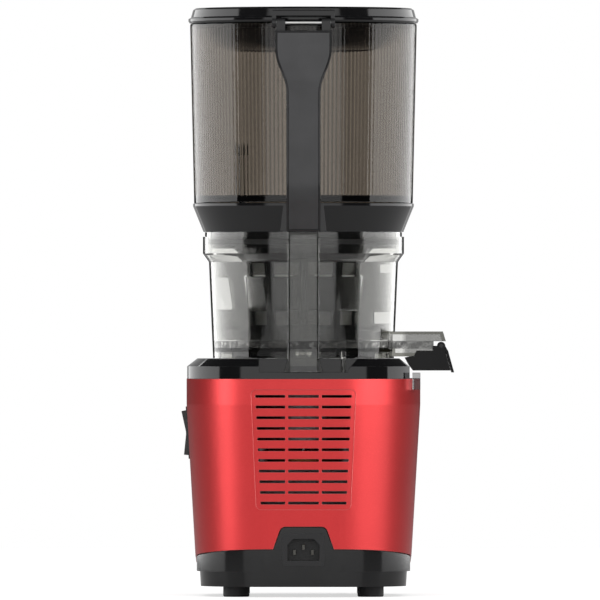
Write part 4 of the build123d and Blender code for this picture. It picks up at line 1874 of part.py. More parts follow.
with BuildPart() as hopper_envelope:
    # what the handle is fitted against
    revolve(
        turned(
            (0, RING_BOTTOM),
            (RING_R_BOTTOM, RING_BOTTOM),
            (RING_R_TOP, RING_CONE_TOP),
            (RING_R_TOP, RING_TOP),
            (wall_outer(RING_TOP), RING_TOP),
            (WALL_R_TOP, WALL_TOP),
            (0, WALL_TOP),
        ),
        axis=Axis.Z,
    )
    with BuildSketch(Plane.XZ.offset(-RIM_BOSS_BACK)):
        with Locations((0, (RIM_BOSS_BOTTOM + RIM_BOSS_TOP) / 2)):
            Rectangle(2 * RIM_BOSS_HALF, RIM_BOSS_TOP - RIM_BOSS_BOTTOM)
    extrude(amount=RIM_BOSS_BACK - WALL_R_BOTTOM)
    with BuildSketch(Plane.XZ.offset(-BOSS_BACK)):
        with Locations((0, (RING_BOTTOM + RING_TOP) / 2)):
            Rectangle(2 * BOSS_HALF_BOTTOM, RING_TOP - RING_BOTTOM)
    extrude(amount=BOSS_BACK - RING_R_BOTTOM)

with BuildPart() as cover_recess:
    # room for the cover, a little larger all round
    extrude(handle_side(side_plane, -1, COVER_DEPTH), amount=side_width)
    recess_face = handle_face(face_plane, COVER_INSET - COVER_LINE, HANDLE_TOP - COVER_INSET + COVER_LINE)
    extrude(recess_face, amount=HANDLE_BACK, mode=Mode.INTERSECT)
    with BuildSketch(Plane.XY.offset(RING_BOTTOM)):
        with Locations((0, HANDLE_BACK)):
            Rectangle(4 * HANDLE_HEAD_HALF, 4 * HANDLE_HEAD_HALF)
    extrude(amount=COVER_INSET - COVER_LINE, mode=Mode.SUBTRACT)

with BuildPart() as handle_body:
    extrude(handle_side(side_plane, 0, HANDLE_THICK), amount=side_width)
    # head that reaches in to the rim, and leg that reaches in to the base ring
    with BuildSketch(side_plane):
        with BuildLine():
            Polyline(
                (WALL_R_BOTTOM, HANDLE_TOP),
                (HANDLE_TOP_BACK - 4, HANDLE_TOP),
                (HANDLE_BACK - HANDLE_THICK, HANDLE_HEAD_BOTTOM - 8),
                (HANDLE_TOP_BACK - 4, HANDLE_HEAD_BOTTOM),
                (WALL_R_BOTTOM, HANDLE_HEAD_BOTTOM),
                close=True,
            )
        make_face()
        with BuildLine():
            Polyline(
                (BOSS_BACK, RING_BOTTOM),
                (BOSS_BACK + 5, RING_BOTTOM),
                (HANDLE_BACK - HANDLE_THICK, HANDLE_LEG_TOP + 12),
                (HANDLE_FOOT_BACK + 4, HANDLE_LEG_TOP),
                (BOSS_BACK, HANDLE_LEG_TOP),
                close=True,
            )
        make_face()
    extrude(amount=side_width)
    extrude(handle_face(face_plane, 0, HANDLE_TOP), amount=HANDLE_BACK, mode=Mode.INTERSECT)
    add(cover_recess.part, mode=Mode.SUBTRACT)
    add(hopper_envelope.part, mode=Mode.SUBTRACT)
    # hinge knuckles on top of the head
    for start in (KNUCKLE_IN, -KNUCKLE_OUT):
        with BuildSketch(Plane.YZ.offset(start)):
            with Locations((PIN_Y, PIN_Z)):
                Circle(KNUCKLE_RADIUS)
            with Locations((PIN_Y, (PIN_Z + HANDLE_TOP) / 2 - 1)):
                Rectangle(2 * KNUCKLE_RADIUS, PIN_Z - HANDLE_TOP + 2)
        extrude(amount=KNUCKLE_OUT - KNUCKLE_IN)
    with BuildSketch(Plane.YZ.offset(-LUG_OUT)):
        with Locations((PIN_Y, PIN_Z)):
            Circle(PIN_RADIUS)
    extrude(amount=2 * LUG_OUT, mode=Mode.SUBTRACT)
    # screw holes under the cover, with room for the heads
    with BuildSketch(face_plane):
        with Locations(*screw_spots, *foot_spots):
            Circle(HANDLE_SCREW)
    extrude(amount=HANDLE_BACK, mode=Mode.SUBTRACT)
    with BuildSketch(face_plane):
        with Locations(*screw_spots):
            Circle(HANDLE_SCREW_HEAD)
    extrude(amount=HANDLE_BACK + 10 - HEAD_SCREW_SEAT, mode=Mode.SUBTRACT)
    with BuildSketch(face_plane):
        with Locations(*foot_spots):
            Circle(HANDLE_SCREW_HEAD)
    extrude(amount=HANDLE_BACK + 10 - FOOT_SCREW_SEAT, mode=Mode.SUBTRACT)
handle_body.part.label = "handle_body"
export_step(handle_body.part, "parts/handle_body.step")

with BuildPart() as handle_cover:
    extrude(handle_side(side_plane, 0, COVER_DEPTH), amount=side_width)
    cover_face = handle_face(face_plane, COVER_INSET, HANDLE_TOP - COVER_INSET)
    extrude(cover_face, amount=HANDLE_BACK, mode=Mode.INTERSECT)
    with BuildSketch(Plane.XY.offset(RING_BOTTOM)):
        with Locations((0, HANDLE_BACK)):
            Rectangle(4 * HANDLE_HEAD_HALF, 4 * HANDLE_HEAD_HALF)
    extrude(amount=COVER_INSET, mode=Mode.SUBTRACT)
handle_cover.part.label = "handle_cover"
export_step(handle_cover.part, "parts/handle_cover.step")

with BuildPart() as handle_screws:
    for spots, seat, tip in (
        (screw_spots, HEAD_SCREW_SEAT, RIM_BOSS_BACK - HANDLE_SCREW_GRIP),
        (foot_spots, FOOT_SCREW_SEAT, BOSS_BACK - HANDLE_SCREW_GRIP),
    ):
        with BuildSketch(Plane.XZ.offset(-seat)):
            with Locations(*spots):
                Circle(HANDLE_SCREW)
        extrude(amount=seat - tip)
        with BuildSketch(Plane.XZ.offset(-seat - HANDLE_SCREW_HEAD_HEIGHT)):
            with Locations(*spots):
                Circle(HANDLE_SCREW_HEAD - 0.3)
        extrude(amount=HANDLE_SCREW_HEAD_HEIGHT)
        with BuildSketch(Plane.XZ.offset(-seat - HANDLE_SCREW_HEAD_HEIGHT)):
            with Locations(*spots):
                RegularPolygon(HANDLE_SCREW_KEY / sqrt(3), 6)
        extrude(amount=HANDLE_SCREW_KEY_DEPTH, mode=Mode.SUBTRACT)
handle_screws.part.label = "handle_screws"
export_step(handle_screws.part, "parts/handle_screws.step")

with BuildPart() as lid_hinge_pin:
    with BuildSketch(Plane.YZ.offset(-LUG_OUT)):
        with Locations((PIN_Y, PIN_Z)):
            Circle(PIN_RADIUS)
    extrude(amount=2 * LUG_OUT)
lid_hinge_pin.part.label = "lid_hinge_pin"
export_step(lid_hinge_pin.part, "parts/lid_hinge_pin.step")

# ------------------------------------------------------------------ lid
with BuildPart() as lid_shell:
    revolve(
        turned(
            (0, LID_TOP - LID_THICK),
            (0, LID_TOP),
            (LID_TOP_RADIUS, LID_TOP),
            (LID_EDGE_RADIUS, LID_EDGE_Z),
            (LID_RADIUS, LID_BEAD_TOP + 0.2),
            (LID_BEAD_RADIUS, LID_BEAD_TOP - 1),
            (LID_BEAD_RADIUS, LID_BEAD_BOTTOM + 1),
            (LID_BEAD_RADIUS - 1, LID_BOTTOM),
            (LID_SKIRT_INNER, LID_BOTTOM),
            (LID_SKIRT_INNER, LID_TOP - LID_THICK),
        ),
        axis=Axis.Z,
    )
    # tab and lugs of the hinge
    with BuildSketch(Plane.YZ.offset(-LUG_OUT)):
        with Locations(((LID_SKIRT_INNER + LID_TAB_BACK) / 2, (LID_TAB_BOTTOM + LID_TAB_TOP) / 2)):
            RectangleRounded(LID_TAB_BACK - LID_SKIRT_INNER, LID_TAB_TOP - LID_TAB_BOTTOM, 1.5)
    extrude(amount=2 * LUG_OUT)
    for start in (KNUCKLE_OUT + GAP, -LUG_OUT):
        with BuildSketch(Plane.YZ.offset(start)):
            with Locations((PIN_Y, PIN_Z)):
                Circle(KNUCKLE_RADIUS)
            with Locations((PIN_Y - 1, (PIN_Z + LID_TAB_TOP - 2) / 2)):
                Rectangle(2 * KNUCKLE_RADIUS - 2, LID_TAB_TOP - 2 - PIN_Z)
        extrude(amount=LUG_OUT - KNUCKLE_OUT - GAP)
    with BuildSketch(Plane.YZ.offset(-LUG_OUT)):
        with Locations((PIN_Y, PIN_Z)):
            Circle(PIN_RADIUS + RUN)
    extrude(amount=2 * LUG_OUT, mode=Mode.SUBTRACT)
    # finger tab at the front
    with BuildSketch(Plane.XY.offset(LID_BEAD_BOTTOM)):
        with Locations((0, -(FINGER_TAB_FRONT + LID_SKIRT_INNER) / 2)):
            RectangleRounded(2 * FINGER_TAB_HALF, FINGER_TAB_FRONT - LID_SKIRT_INNER, 3)
    extrude(amount=LID_BEAD_TOP - LID_BEAD_BOTTOM)
lid_shell.part.label = "lid_shell"
export_step(lid_shell.part, "parts/lid_shell.step")

liner_arc_middle = ((LINER_FLAT + LINER_SHOULDER) / 2 + 6, LINER_DEPTH + 5)
with BuildPart() as lid_liner:
    with BuildSketch(Plane.XZ):
        with BuildLine():
            Polyline((0, LID_TOP - LID_THICK), (0, LINER_DEPTH), (LINER_FLAT, LINER_DEPTH))
            ThreePointArc((LINER_FLAT, LINER_DEPTH), liner_arc_middle, (LINER_SHOULDER, LINER_FLANGE))
            Polyline(
                (LINER_SHOULDER, LINER_FLANGE),
                (LINER_RADIUS, LINER_FLANGE),
                (LINER_RADIUS, LID_TOP - LID_THICK),
                (0, LID_TOP - LID_THICK),
            )
        make_face()
        with BuildLine():
            Polyline(
                (0, LID_TOP - LID_THICK),
                (0, LINER_DEPTH + LINER_WALL),
                (LINER_FLAT, LINER_DEPTH + LINER_WALL),
            )
            ThreePointArc(
                (LINER_FLAT, LINER_DEPTH + LINER_WALL),
                (liner_arc_middle[0] - 1.2, liner_arc_middle[1] + LINER_WALL),
                (LINER_SHOULDER - LINER_WALL, LINER_FLANGE + LINER_WALL),
            )
            Polyline(
                (LINER_SHOULDER - LINER_WALL, LINER_FLANGE + LINER_WALL),
                (LINER_RADIUS - LINER_WALL, LINER_FLANGE + LINER_WALL),
                (LINER_RADIUS - LINER_WALL, LID_TOP - LID_THICK),
                (0, LID_TOP - LID_THICK),
            )
        make_face(mode=Mode.SUBTRACT)
    revolve(axis=Axis.Z)
lid_liner.part.label = "lid_liner"
export_step(lid_liner.part, "parts/lid_liner.step")

with BuildPart() as lid_seal:
    seal_outer = WALL_R_TOP - WALL_THICK - 0.5
    add(tube(seal_outer, LINER_RADIUS - 1.5, SEAL_BOTTOM, LINER_FLANGE))
    add(tube(seal_outer, LINER_RADIUS, LINER_FLANGE, LID_BOTTOM))
lid_seal.part.label = "lid_seal"
export_step(lid_seal.part, "parts/lid_seal.step")
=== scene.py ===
"""Looks of an upright juicer: its finishes, its fluted hopper wall and the studio around it."""

import logging
import math
from dataclasses import dataclass
from enum import Enum
from typing import ClassVar

import bmesh
import bpy
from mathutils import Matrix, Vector

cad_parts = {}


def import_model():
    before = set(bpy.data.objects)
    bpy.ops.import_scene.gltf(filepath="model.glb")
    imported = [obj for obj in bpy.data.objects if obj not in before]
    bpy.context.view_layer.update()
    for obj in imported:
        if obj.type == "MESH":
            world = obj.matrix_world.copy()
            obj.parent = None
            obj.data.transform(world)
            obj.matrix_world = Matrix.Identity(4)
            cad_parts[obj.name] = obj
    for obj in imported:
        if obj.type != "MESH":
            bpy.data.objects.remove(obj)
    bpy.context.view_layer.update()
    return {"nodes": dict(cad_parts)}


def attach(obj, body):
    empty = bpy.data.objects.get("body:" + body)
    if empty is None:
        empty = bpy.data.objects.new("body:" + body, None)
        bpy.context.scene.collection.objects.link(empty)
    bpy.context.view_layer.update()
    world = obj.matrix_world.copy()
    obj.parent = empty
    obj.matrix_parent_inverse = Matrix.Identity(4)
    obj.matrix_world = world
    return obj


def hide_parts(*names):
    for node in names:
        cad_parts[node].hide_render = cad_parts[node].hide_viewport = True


log = logging.getLogger("juicer")

Colour = tuple[float, float, float]
Pair = tuple[float, float]
Socket = bpy.types.NodeSocket

MM = 0.001
TURN = 2 * math.pi

# Octaves of a noise pattern, from the plainest to the finest.
SMOOTH = 2.0
CLOUDY = 4.0
SMEARED = 5.0


class Lay(Enum):
    """How a metal surface was worked; the value stretches its marks along X, Y and Z."""

    CAST = (1.0, 1.0, 1.0)
    ROUND = (0.04, 0.04, 1.0)
    UPRIGHT = (1.0, 1.0, 0.03)


def lighter(colour: Colour, amount: float) -> Colour:
    """Colour made lighter by a share, or darker where the share is negative."""
    return tuple(min(1.0, max(0.0, part * (1.0 + amount))) for part in colour)


class Tree:
    """Node tree with short calls for the nodes that the looks share."""

    def __init__(self, tree: bpy.types.NodeTree) -> None:
        """Keeps the tree."""
        self.tree = tree

    def node(self, kind: str, **settings: object) -> bpy.types.Node:
        """Adds a node and sets its plain properties.

        Args:
            kind: Blender's identifier of the node type.
            settings: Properties to set on the node.

        Returns:
            The new node.
        """
        made = self.tree.nodes.new(kind)
        for key, value in settings.items():
            setattr(made, key, value)
        return made

    def link(self, source: Socket, target: Socket) -> None:
        """Joins an output to an input."""
        self.tree.links.new(source, target)

    def sums(self, operation: str, first: Socket, second: object = 0.0) -> Socket:
        """One math operation between a value and another value or number.

        Args:
            operation: Blender's name of the operation.
            first: First value.
            second: Second value, as a number or as a socket.

        Returns:
            The result.
        """
        made = self.node("ShaderNodeMath", operation=operation)
        self.link(first, made.inputs[0])
        if isinstance(second, (int, float)):
            made.inputs[1].default_value = second
        else:
            self.link(second, made.inputs[1])
        return made.outputs[0]

    def span(
        self, value: Socket, low: float, high: float, start: float = 0.3, end: float = 0.7
    ) -> Socket:
        """Spreads a value over a new range; the usual start and end are those of noise.

        Args:
            value: Value to spread.
            low: Result at the start value.
            high: Result at the end value.
            start: Value that gives the low result.
            end: Value that gives the high result.

        Returns:
            The spread value, held inside the new range.
        """
        made = self.node("ShaderNodeMapRange")
        made.inputs["From Min"].default_value = start
        made.inputs["From Max"].default_value = end
        made.inputs["To Min"].default_value = low
        made.inputs["To Max"].default_value = high
        self.link(value, made.inputs["Value"])
        return made.outputs["Result"]

    def steps(self, value: Socket, levels: tuple[Pair, ...]) -> Socket:
        """Grey level that runs straight from one given level to the next.

        Args:
            value: Place along the levels, from 0 to 1.
            levels: Places and the level at each, in order from place 0 to place 1.

        Returns:
            The level, held from 0 to 1.
        """
        made = self.node("ShaderNodeValToRGB")
        stops = made.color_ramp.elements
        for index, (place, level) in ((1, levels[-1]), (0, levels[0])):
            stops[index].position = place
            stops[index].color = (level, level, level, 1.0)
        for place, level in levels[1:-1]:
            stops.new(place).color = (level, level, level, 1.0)
        self.link(value, made.inputs[0])
        return made.outputs["Color"]

    def either(self, share: Socket, first: Socket, second: Socket) -> Socket:
        """Mixes two shaders.

        Args:
            share: Share of the second shader, from 0 to 1.
            first: First shader.
            second: Second shader.

        Returns:
            The mixed shader.
        """
        made = self.node("ShaderNodeMixShader")
        for socket, source in zip(made.inputs, (share, first, second)):
            self.link(source, socket)
        return made.outputs[0]


class Graph(Tree):
    """Node tree of one material."""

    edge_samples: ClassVar[int] = 4
    flat_cosine: ClassVar[float] = 0.985
    edge_cosine: ClassVar[float] = 0.85
    fade: ClassVar[float] = 0.0004

    def __init__(self, name: str, edge: float = 0.0) -> None:
        """Makes the material and keeps its tree and main shader.

        Args:
            name: Name of the material.
            edge: Radius of the softened edges in metres, or 0 for none.
        """
        self.material = bpy.data.materials.new(name)
        self.material.use_nodes = True
        super().__init__(self.material.node_tree)
        self.shader = self.tree.nodes["Principled BSDF"]
        self.output = self.tree.nodes["Material Output"]
        self.place = self.node("ShaderNodeTexCoord").outputs["Object"]
        self.soft: Socket | None = None
        if edge > 0:
            bevel = self.node("ShaderNodeBevel", samples=self.edge_samples)
            bevel.inputs["Radius"].default_value = edge
            self.soft = bevel.outputs["Normal"]

    def stretched(self, scale: Colour) -> Socket:
        """Object coordinates scaled differently along each axis.

        Args:
            scale: Scale along X, Y and Z.

        Returns:
            The scaled coordinates.
        """
        mapping = self.node("ShaderNodeMapping")
        mapping.inputs["Scale"].default_value = scale
        self.link(self.place, mapping.inputs["Vector"])
        return mapping.outputs["Vector"]

    def noise(self, scale: float, octaves: float, where: Socket | None = None) -> Socket:
        """Fractal noise on the object's coordinates.

        Args:
            scale: Cells per metre.
            octaves: Octaves of noise.
            where: Coordinates to use instead of the object's own.

        Returns:
            The noise value, most of it between 0.3 and 0.7.
        """
        made = self.node("ShaderNodeTexNoise")
        made.inputs["Scale"].default_value = scale
        made.inputs["Detail"].default_value = octaves
        self.link(where or self.place, made.inputs["Vector"])
        return made.outputs["Fac"]

    def clouds(self, scale: float, octaves: float) -> Socket:
        """Noise spread over the whole range from 0 to 1."""
        return self.span(self.noise(scale, octaves), 0.0, 1.0)

    def cells(self, scale: float, **settings: object) -> bpy.types.Node:
        """Cell pattern on the object's coordinates.

        Args:
            scale: Cells per metre.
            settings: Properties to set on the node.

        Returns:
            The node of the pattern.
        """
        made = self.node("ShaderNodeTexVoronoi", **settings)
        made.inputs["Scale"].default_value = scale
        self.link(self.place, made.inputs["Vector"])
        return made

    def blend(self, value: Socket, low: object, high: object) -> Socket:
        """Blends between two colours by a value.

        Args:
            value: Share of the second colour, from 0 to 1.
            low: First colour, as numbers or as a socket.
            high: Second colour, as numbers or as a socket.

        Returns:
            The blended colour.
        """
        made = self.node("ShaderNodeMix", data_type="RGBA")
        share, first, second = (made.inputs[index] for index in (0, 6, 7))
        for socket, colour in ((first, low), (second, high)):
            if isinstance(colour, tuple):
                socket.default_value = (*colour, 1.0)
            else:
                self.link(colour, socket)
        self.link(value, share)
        return made.outputs[2]

    def along(self, axis: str) -> Socket:
        """Object coordinate along one axis.

        Args:
            axis: X, Y or Z.

        Returns:
            The coordinate, in metres.
        """
        split = self.node("ShaderNodeSeparateXYZ")
        self.link(self.place, split.inputs[0])
        return split.outputs[axis]

    def waves_around(self, count: int) -> Socket:
        """Sine waves around the upright axis.

        Args:
            count: Waves in a full turn.

        Returns:
            The waves, from -1 to 1.
        """
        angle = self.sums("ARCTAN2", self.along("Y"), self.along("X"))
        turns = self.sums("DIVIDE", angle, TURN)
        return self.sums("SINE", self.sums("MULTIPLY", turns, TURN * count))

    def waves_up(self, pitch: float) -> Socket:
        """Level sine waves of a given pitch in metres, from -1 to 1."""
        return self.sums("SINE", self.sums("MULTIPLY", self.along("Z"), TURN / pitch))

    def above(self, height: float) -> Socket:
        """Share that is 1 above a height in metres and 0 soon below it."""
        return self.span(self.along("Z"), 0.0, 1.0, height - self.fade, height)

    def below(self, height: float) -> Socket:
        """Share that is 1 below a height in metres and 0 soon above it."""
        return self.span(self.along("Z"), 1.0, 0.0, height, height + self.fade)

    def edge_share(self) -> Socket:
        """How far a point lies on a sharp edge.

        Returns:
            The share, from 0 on a face to 1 on the edge.
        """
        face = self.node("ShaderNodeNewGeometry")
        cosine = self.node("ShaderNodeVectorMath", operation="DOT_PRODUCT")
        self.link(self.soft, cosine.inputs[0])
        self.link(face.outputs["Normal"], cosine.inputs[1])
        return self.span(cosine.outputs["Value"], 0.0, 1.0, self.flat_cosine, self.edge_cosine)

    def relief(self, pattern: Socket, depth: float) -> None:
        """Gives the shader its normal, from the softened edges and a pattern of heights.

        Args:
            pattern: Height pattern from 0 to 1.
            depth: Depth of the pattern in metres.
        """
        bump = self.node("ShaderNodeBump")
        bump.inputs["Distance"].default_value = depth
        self.link(pattern, bump.inputs["Height"])
        if self.soft is not None:
            self.link(self.soft, bump.inputs["Normal"])
        self.feed("Normal", bump.outputs["Normal"])

    def constant(self, **values: object) -> None:
        """Sets the shader's own sockets; an underscore in a name stands for a space."""
        for key, value in values.items():
            self.shader.inputs[key.replace("_", " ")].default_value = value

    def feed(self, socket: str, source: Socket) -> None:
        """Joins an output to one of the shader's sockets."""
        self.link(source, self.shader.inputs[socket])


@dataclass(frozen=True)
class Moulding:
    """Opaque moulded plastic, rubber or silicone; patterns are given in cells per metre."""

    name: str
    colour: Colour
    roughness: float
    spread: float = 0.05
    grain: float = 1400.0
    depth: float = 0.000012
    mottling: float = 0.1
    specular: float = 0.5
    edge: float = 0.0004
    wear: float = 0.02
    cloud_cells: float = 60.0
    scuff_cells: float = 240.0
    smear_cells: float = 35.0
    least_roughness: float = 0.02

    def build(self) -> bpy.types.Material:
        """Makes the material: slight clouds, rubbed edges, hand smears and a fine moulded grain.

        Returns:
            The material.
        """
        graph = Graph(self.name, self.edge)
        dark, light = (lighter(self.colour, amount) for amount in (-self.mottling, self.mottling))
        base = graph.blend(graph.clouds(self.cloud_cells, CLOUDY), dark, light)
        patches = graph.clouds(self.scuff_cells, SMEARED)
        scuffs = graph.sums("MULTIPLY", graph.edge_share(), patches)
        worn = tuple(part + self.wear for part in self.colour)
        graph.feed("Base Color", graph.blend(scuffs, base, worn))
        smears = graph.noise(self.smear_cells, SMEARED)
        low = max(self.least_roughness, self.roughness - self.spread)
        graph.feed("Roughness", graph.span(smears, low, self.roughness + self.spread))
        graph.constant(Specular_IOR_Level=self.specular)
        graph.relief(graph.noise(self.grain, SMOOTH), self.depth)
        return graph.material


@dataclass(frozen=True)
class SatinPaint:
    """Satin metallic paint with fine flakes under a thin clear coat."""

    name: str = "satin_red"
    colour: Colour = (0.64, 0.013, 0.016)
    deep: Colour = (0.58, 0.01, 0.012)
    flake: Colour = (0.72, 0.035, 0.037)
    # Lighter, pinker colour for the edges: a painted highlight, standing in for the light rim
    # along the casing's edges.
    edge_highlight: Colour = (0.72, 0.24, 0.23)
    edge_highlight_share: float = 0.8
    edge: float = 0.0005
    roughness: float = 0.4
    smoother: float = 0.03
    rougher: float = 0.04
    metallic: float = 0.82
    coat: float = 0.9
    coat_roughness: float = 0.38
    tone_cells: float = 9.0
    flake_cells: float = 3200.0
    flake_from: float = 0.72
    flake_share: float = 0.55
    smear_cells: float = 22.0
    peel_cells: float = 2400.0
    peel_depth: float = 0.000006

    def build(self) -> bpy.types.Material:
        """Makes the material: two tones, fine flakes, rubbed edges and a faint orange peel.

        Returns:
            The material.
        """
        graph = Graph(self.name, self.edge)
        base = graph.blend(graph.clouds(self.tone_cells, SMOOTH), self.deep, self.colour)
        split = graph.node("ShaderNodeSeparateColor")
        graph.link(graph.cells(self.flake_cells).outputs["Color"], split.inputs[0])
        glints = graph.span(split.outputs[0], 0.0, self.flake_share, self.flake_from, 1.0)
        flaked = graph.blend(glints, base, self.flake)
        # Painted highlight: the edges turn to the lighter edge colour, standing in for the light
        # rim on the casing's edges.
        edges = graph.sums("MULTIPLY", graph.edge_share(), self.edge_highlight_share)
        graph.feed("Base Color", graph.blend(edges, flaked, self.edge_highlight))
        smears = graph.noise(self.smear_cells, CLOUDY)
        low, high = self.roughness - self.smoother, self.roughness + self.rougher
        graph.feed("Roughness", graph.span(smears, low, high))
        graph.constant(
            Metallic=self.metallic, Coat_Weight=self.coat, Coat_Roughness=self.coat_roughness
        )
        graph.relief(graph.noise(self.peel_cells, SMOOTH), self.peel_depth)
        return graph.material


@dataclass(frozen=True)
class ClearPlastic:
    """Clear or smoked moulding that shows what lies behind it and deepens with its thickness.

    The tint colours its surfaces, and absorbed is how strongly a metre of it absorbs red, green
    and blue. It may have upright ribs above a height, bumped and with painted shade in stripes
    along them, a deeper tint below a value of X, and a band of dark specks between two heights,
    all in metres.
    """

    name: str
    tint: Colour
    absorbed: Colour
    roughness: float = 0.03
    ior: float = 1.45
    ripple: float = 0.00002
    clouding: float = 0.04
    edge: float = 0.0
    flow_cells: float = 14.0
    flow_stretch: Colour = (1.0, 1.0, 0.35)
    haze_cells: float = 70.0
    haze_share: float = 0.5
    ribs: int = 0
    ribs_from: float = 0.3135
    rib_lines: Pair = (0.1, 0.7)
    rib_shade: float = 0.42
    rib_depth: float = 0.00004
    deep_until: float | None = None
    deep_fade: float = 0.004
    deepening: float = 0.4
    speckled: Pair | None = None
    speckling: float = 0.65
    speck_cells: float = 240.0
    speck_edge: Pair = (0.52, 0.58)
    density_margin: float = 1.02

    def ribbed(self, graph: Graph, base: Socket) -> tuple[Socket, Socket]:
        """Paints shade on the base in stripes along upright ribs, standing in for the flutes' dark
        reflections.

        Args:
            graph: Tree of the material.
            base: Colour without the ribs.

        Returns:
            The colour with the painted shade, and the height pattern of the ribs.
        """
        wave = graph.waves_around(self.ribs)
        raised = graph.above(self.ribs_from)
        # Painted shade: stripes of darker tint along the ribs, standing in for the flutes' dark
        # reflections.
        lines = graph.sums("MULTIPLY", graph.span(wave, 0.0, 1.0, *self.rib_lines), raised)
        heights = graph.sums("MULTIPLY", graph.span(wave, 0.0, 1.0, -1.0, 1.0), raised)
        return graph.blend(lines, base, lighter(self.tint, -self.rib_shade)), heights

    def deepened(self, graph: Graph, base: Socket) -> Socket:
        """Deepens the base below a value of X.

        Args:
            graph: Tree of the material.
            base: Colour without the deeper part.

        Returns:
            The colour with it.
        """
        fade_from = self.deep_until - self.deep_fade
        beside = graph.span(graph.along("X"), 1.0, 0.0, fade_from, self.deep_until)
        return graph.blend(beside, base, lighter(self.tint, -self.deepening))

    def specked(self, graph: Graph, base: Socket) -> Socket:
        """Strews dark specks over a level band of the base.

        Args:
            graph: Tree of the material.
            base: Colour without the specks.

        Returns:
            The colour with them.
        """
        low, high = self.speckled
        band = graph.sums("MULTIPLY", graph.above(low), graph.below(high))
        specks = graph.span(graph.noise(self.speck_cells, SMOOTH), 1.0, 0.0, *self.speck_edge)
        share = graph.sums("MULTIPLY", band, specks)
        return graph.blend(share, base, lighter(self.tint, -self.speckling))

    def build(self) -> bpy.types.Material:
        """Makes the material: flow marks, wear haze, an uneven tint and absorption per metre.

        Returns:
            The material.
        """
        graph = Graph(self.name, self.edge)
        flow = graph.noise(self.flow_cells, SMOOTH, graph.stretched(self.flow_stretch))
        low, high = (lighter(self.tint, amount) for amount in (-self.clouding, self.clouding))
        base = graph.blend(graph.span(flow, 0.0, 1.0), low, high)
        pattern, depth = flow, self.ripple
        if self.ribs:
            base, pattern = self.ribbed(graph, base)
            depth = self.rib_depth
        if self.deep_until is not None:
            base = self.deepened(graph, base)
        if self.speckled is not None:
            base = self.specked(graph, base)
        graph.feed("Base Color", base)
        haze = graph.noise(self.haze_cells, SMEARED)
        clearest, haziest = (self.roughness * (1 + side * self.haze_share) for side in (-1, 1))
        graph.feed("Roughness", graph.span(haze, clearest, haziest))
        graph.constant(Transmission_Weight=1.0, IOR=self.ior)
        graph.relief(pattern, depth)
        density = self.density_margin * max(self.absorbed)
        smoke = graph.node("ShaderNodeVolumeAbsorption")
        smoke.inputs["Density"].default_value = density
        passed = (1 - part / density for part in self.absorbed)
        smoke.inputs["Color"].default_value = (*passed, 1.0)
        graph.link(smoke.outputs[0], graph.output.inputs["Volume"])
        return graph.material


@dataclass(frozen=True)
class Metal:
    """Bare metal, cast or with the marks of its working."""

    name: str
    colour: Colour
    roughness: float = 0.3
    lay: Lay = Lay.CAST
    metallic: float = 1.0
    marks: float = 900.0
    depth: float = 0.000008
    edge: float = 0.0003
    smoother: float = 0.08
    rougher: float = 0.12
    stain_cells: float = 50.0
    stained: float = -0.14
    clean: float = 0.08
    polished: float = 0.35

    def build(self) -> bpy.types.Material:
        """Makes the material: faint stains, bright edges and the marks of the working.

        Returns:
            The material.
        """
        graph = Graph(self.name, self.edge)
        marks = graph.noise(self.marks, CLOUDY, graph.stretched(self.lay.value))
        dull, bright, edge = (
            lighter(self.colour, amount) for amount in (self.stained, self.clean, self.polished)
        )
        base = graph.blend(graph.clouds(self.stain_cells, SMEARED), dull, bright)
        graph.feed("Base Color", graph.blend(graph.edge_share(), base, edge))
        low, high = self.roughness - self.smoother, self.roughness + self.rougher
        graph.feed("Roughness", graph.span(marks, low, high))
        graph.constant(Metallic=self.metallic)
        graph.relief(marks, self.depth)
        return graph.material


@dataclass(frozen=True)
class Banded:
    """Surface built up of thin level bands, such as laminations or turns of wire."""

    name: str
    colour: Colour
    gap: Colour
    pitch: float
    metallic: float
    roughness: float
    spread: float = 0.08
    dirty: float = -0.2
    clean: float = 0.12
    tone_cells: float = 160.0
    band_edge: Pair = (-0.9, 0.2)
    depth_share: float = 0.25

    def build(self) -> bpy.types.Material:
        """Makes the material: clouded bands with dark gaps between them.

        Returns:
            The material.
        """
        graph = Graph(self.name)
        share = graph.span(graph.waves_up(self.pitch), 0.0, 1.0, *self.band_edge)
        tone = graph.clouds(self.tone_cells, CLOUDY)
        low, high = (lighter(self.colour, amount) for amount in (self.dirty, self.clean))
        graph.feed("Base Color", graph.blend(share, self.gap, graph.blend(tone, low, high)))
        low, high = self.roughness - self.spread, self.roughness + self.spread
        graph.feed("Roughness", graph.span(tone, low, high, 0.0, 1.0))
        graph.constant(Metallic=self.metallic)
        graph.relief(share, self.pitch * self.depth_share)
        return graph.material


@dataclass(frozen=True)
class CircuitBoard:
    """Printed board with tracks under its green mask."""

    name: str = "board_green"
    mask: Colour = (0.02, 0.13, 0.05)
    track: Colour = (0.05, 0.24, 0.09)
    edge: float = 0.0002
    track_cells: float = 220.0
    track_edge: Pair = (0.28, 0.34)
    track_depth: float = 0.00003
    smear_cells: float = 90.0
    roughness: Pair = (0.28, 0.42)

    def build(self) -> bpy.types.Material:
        """Makes the material: square tracks, slightly raised, under an uneven gloss.

        Returns:
            The material.
        """
        graph = Graph(self.name, self.edge)
        cells = graph.cells(self.track_cells, distance="CHEBYCHEV")
        lines = graph.span(cells.outputs["Distance"], 1.0, 0.0, *self.track_edge)
        graph.feed("Base Color", graph.blend(lines, self.mask, self.track))
        smears = graph.noise(self.smear_cells, CLOUDY)
        graph.feed("Roughness", graph.span(smears, *self.roughness))
        graph.relief(lines, self.track_depth)
        return graph.material


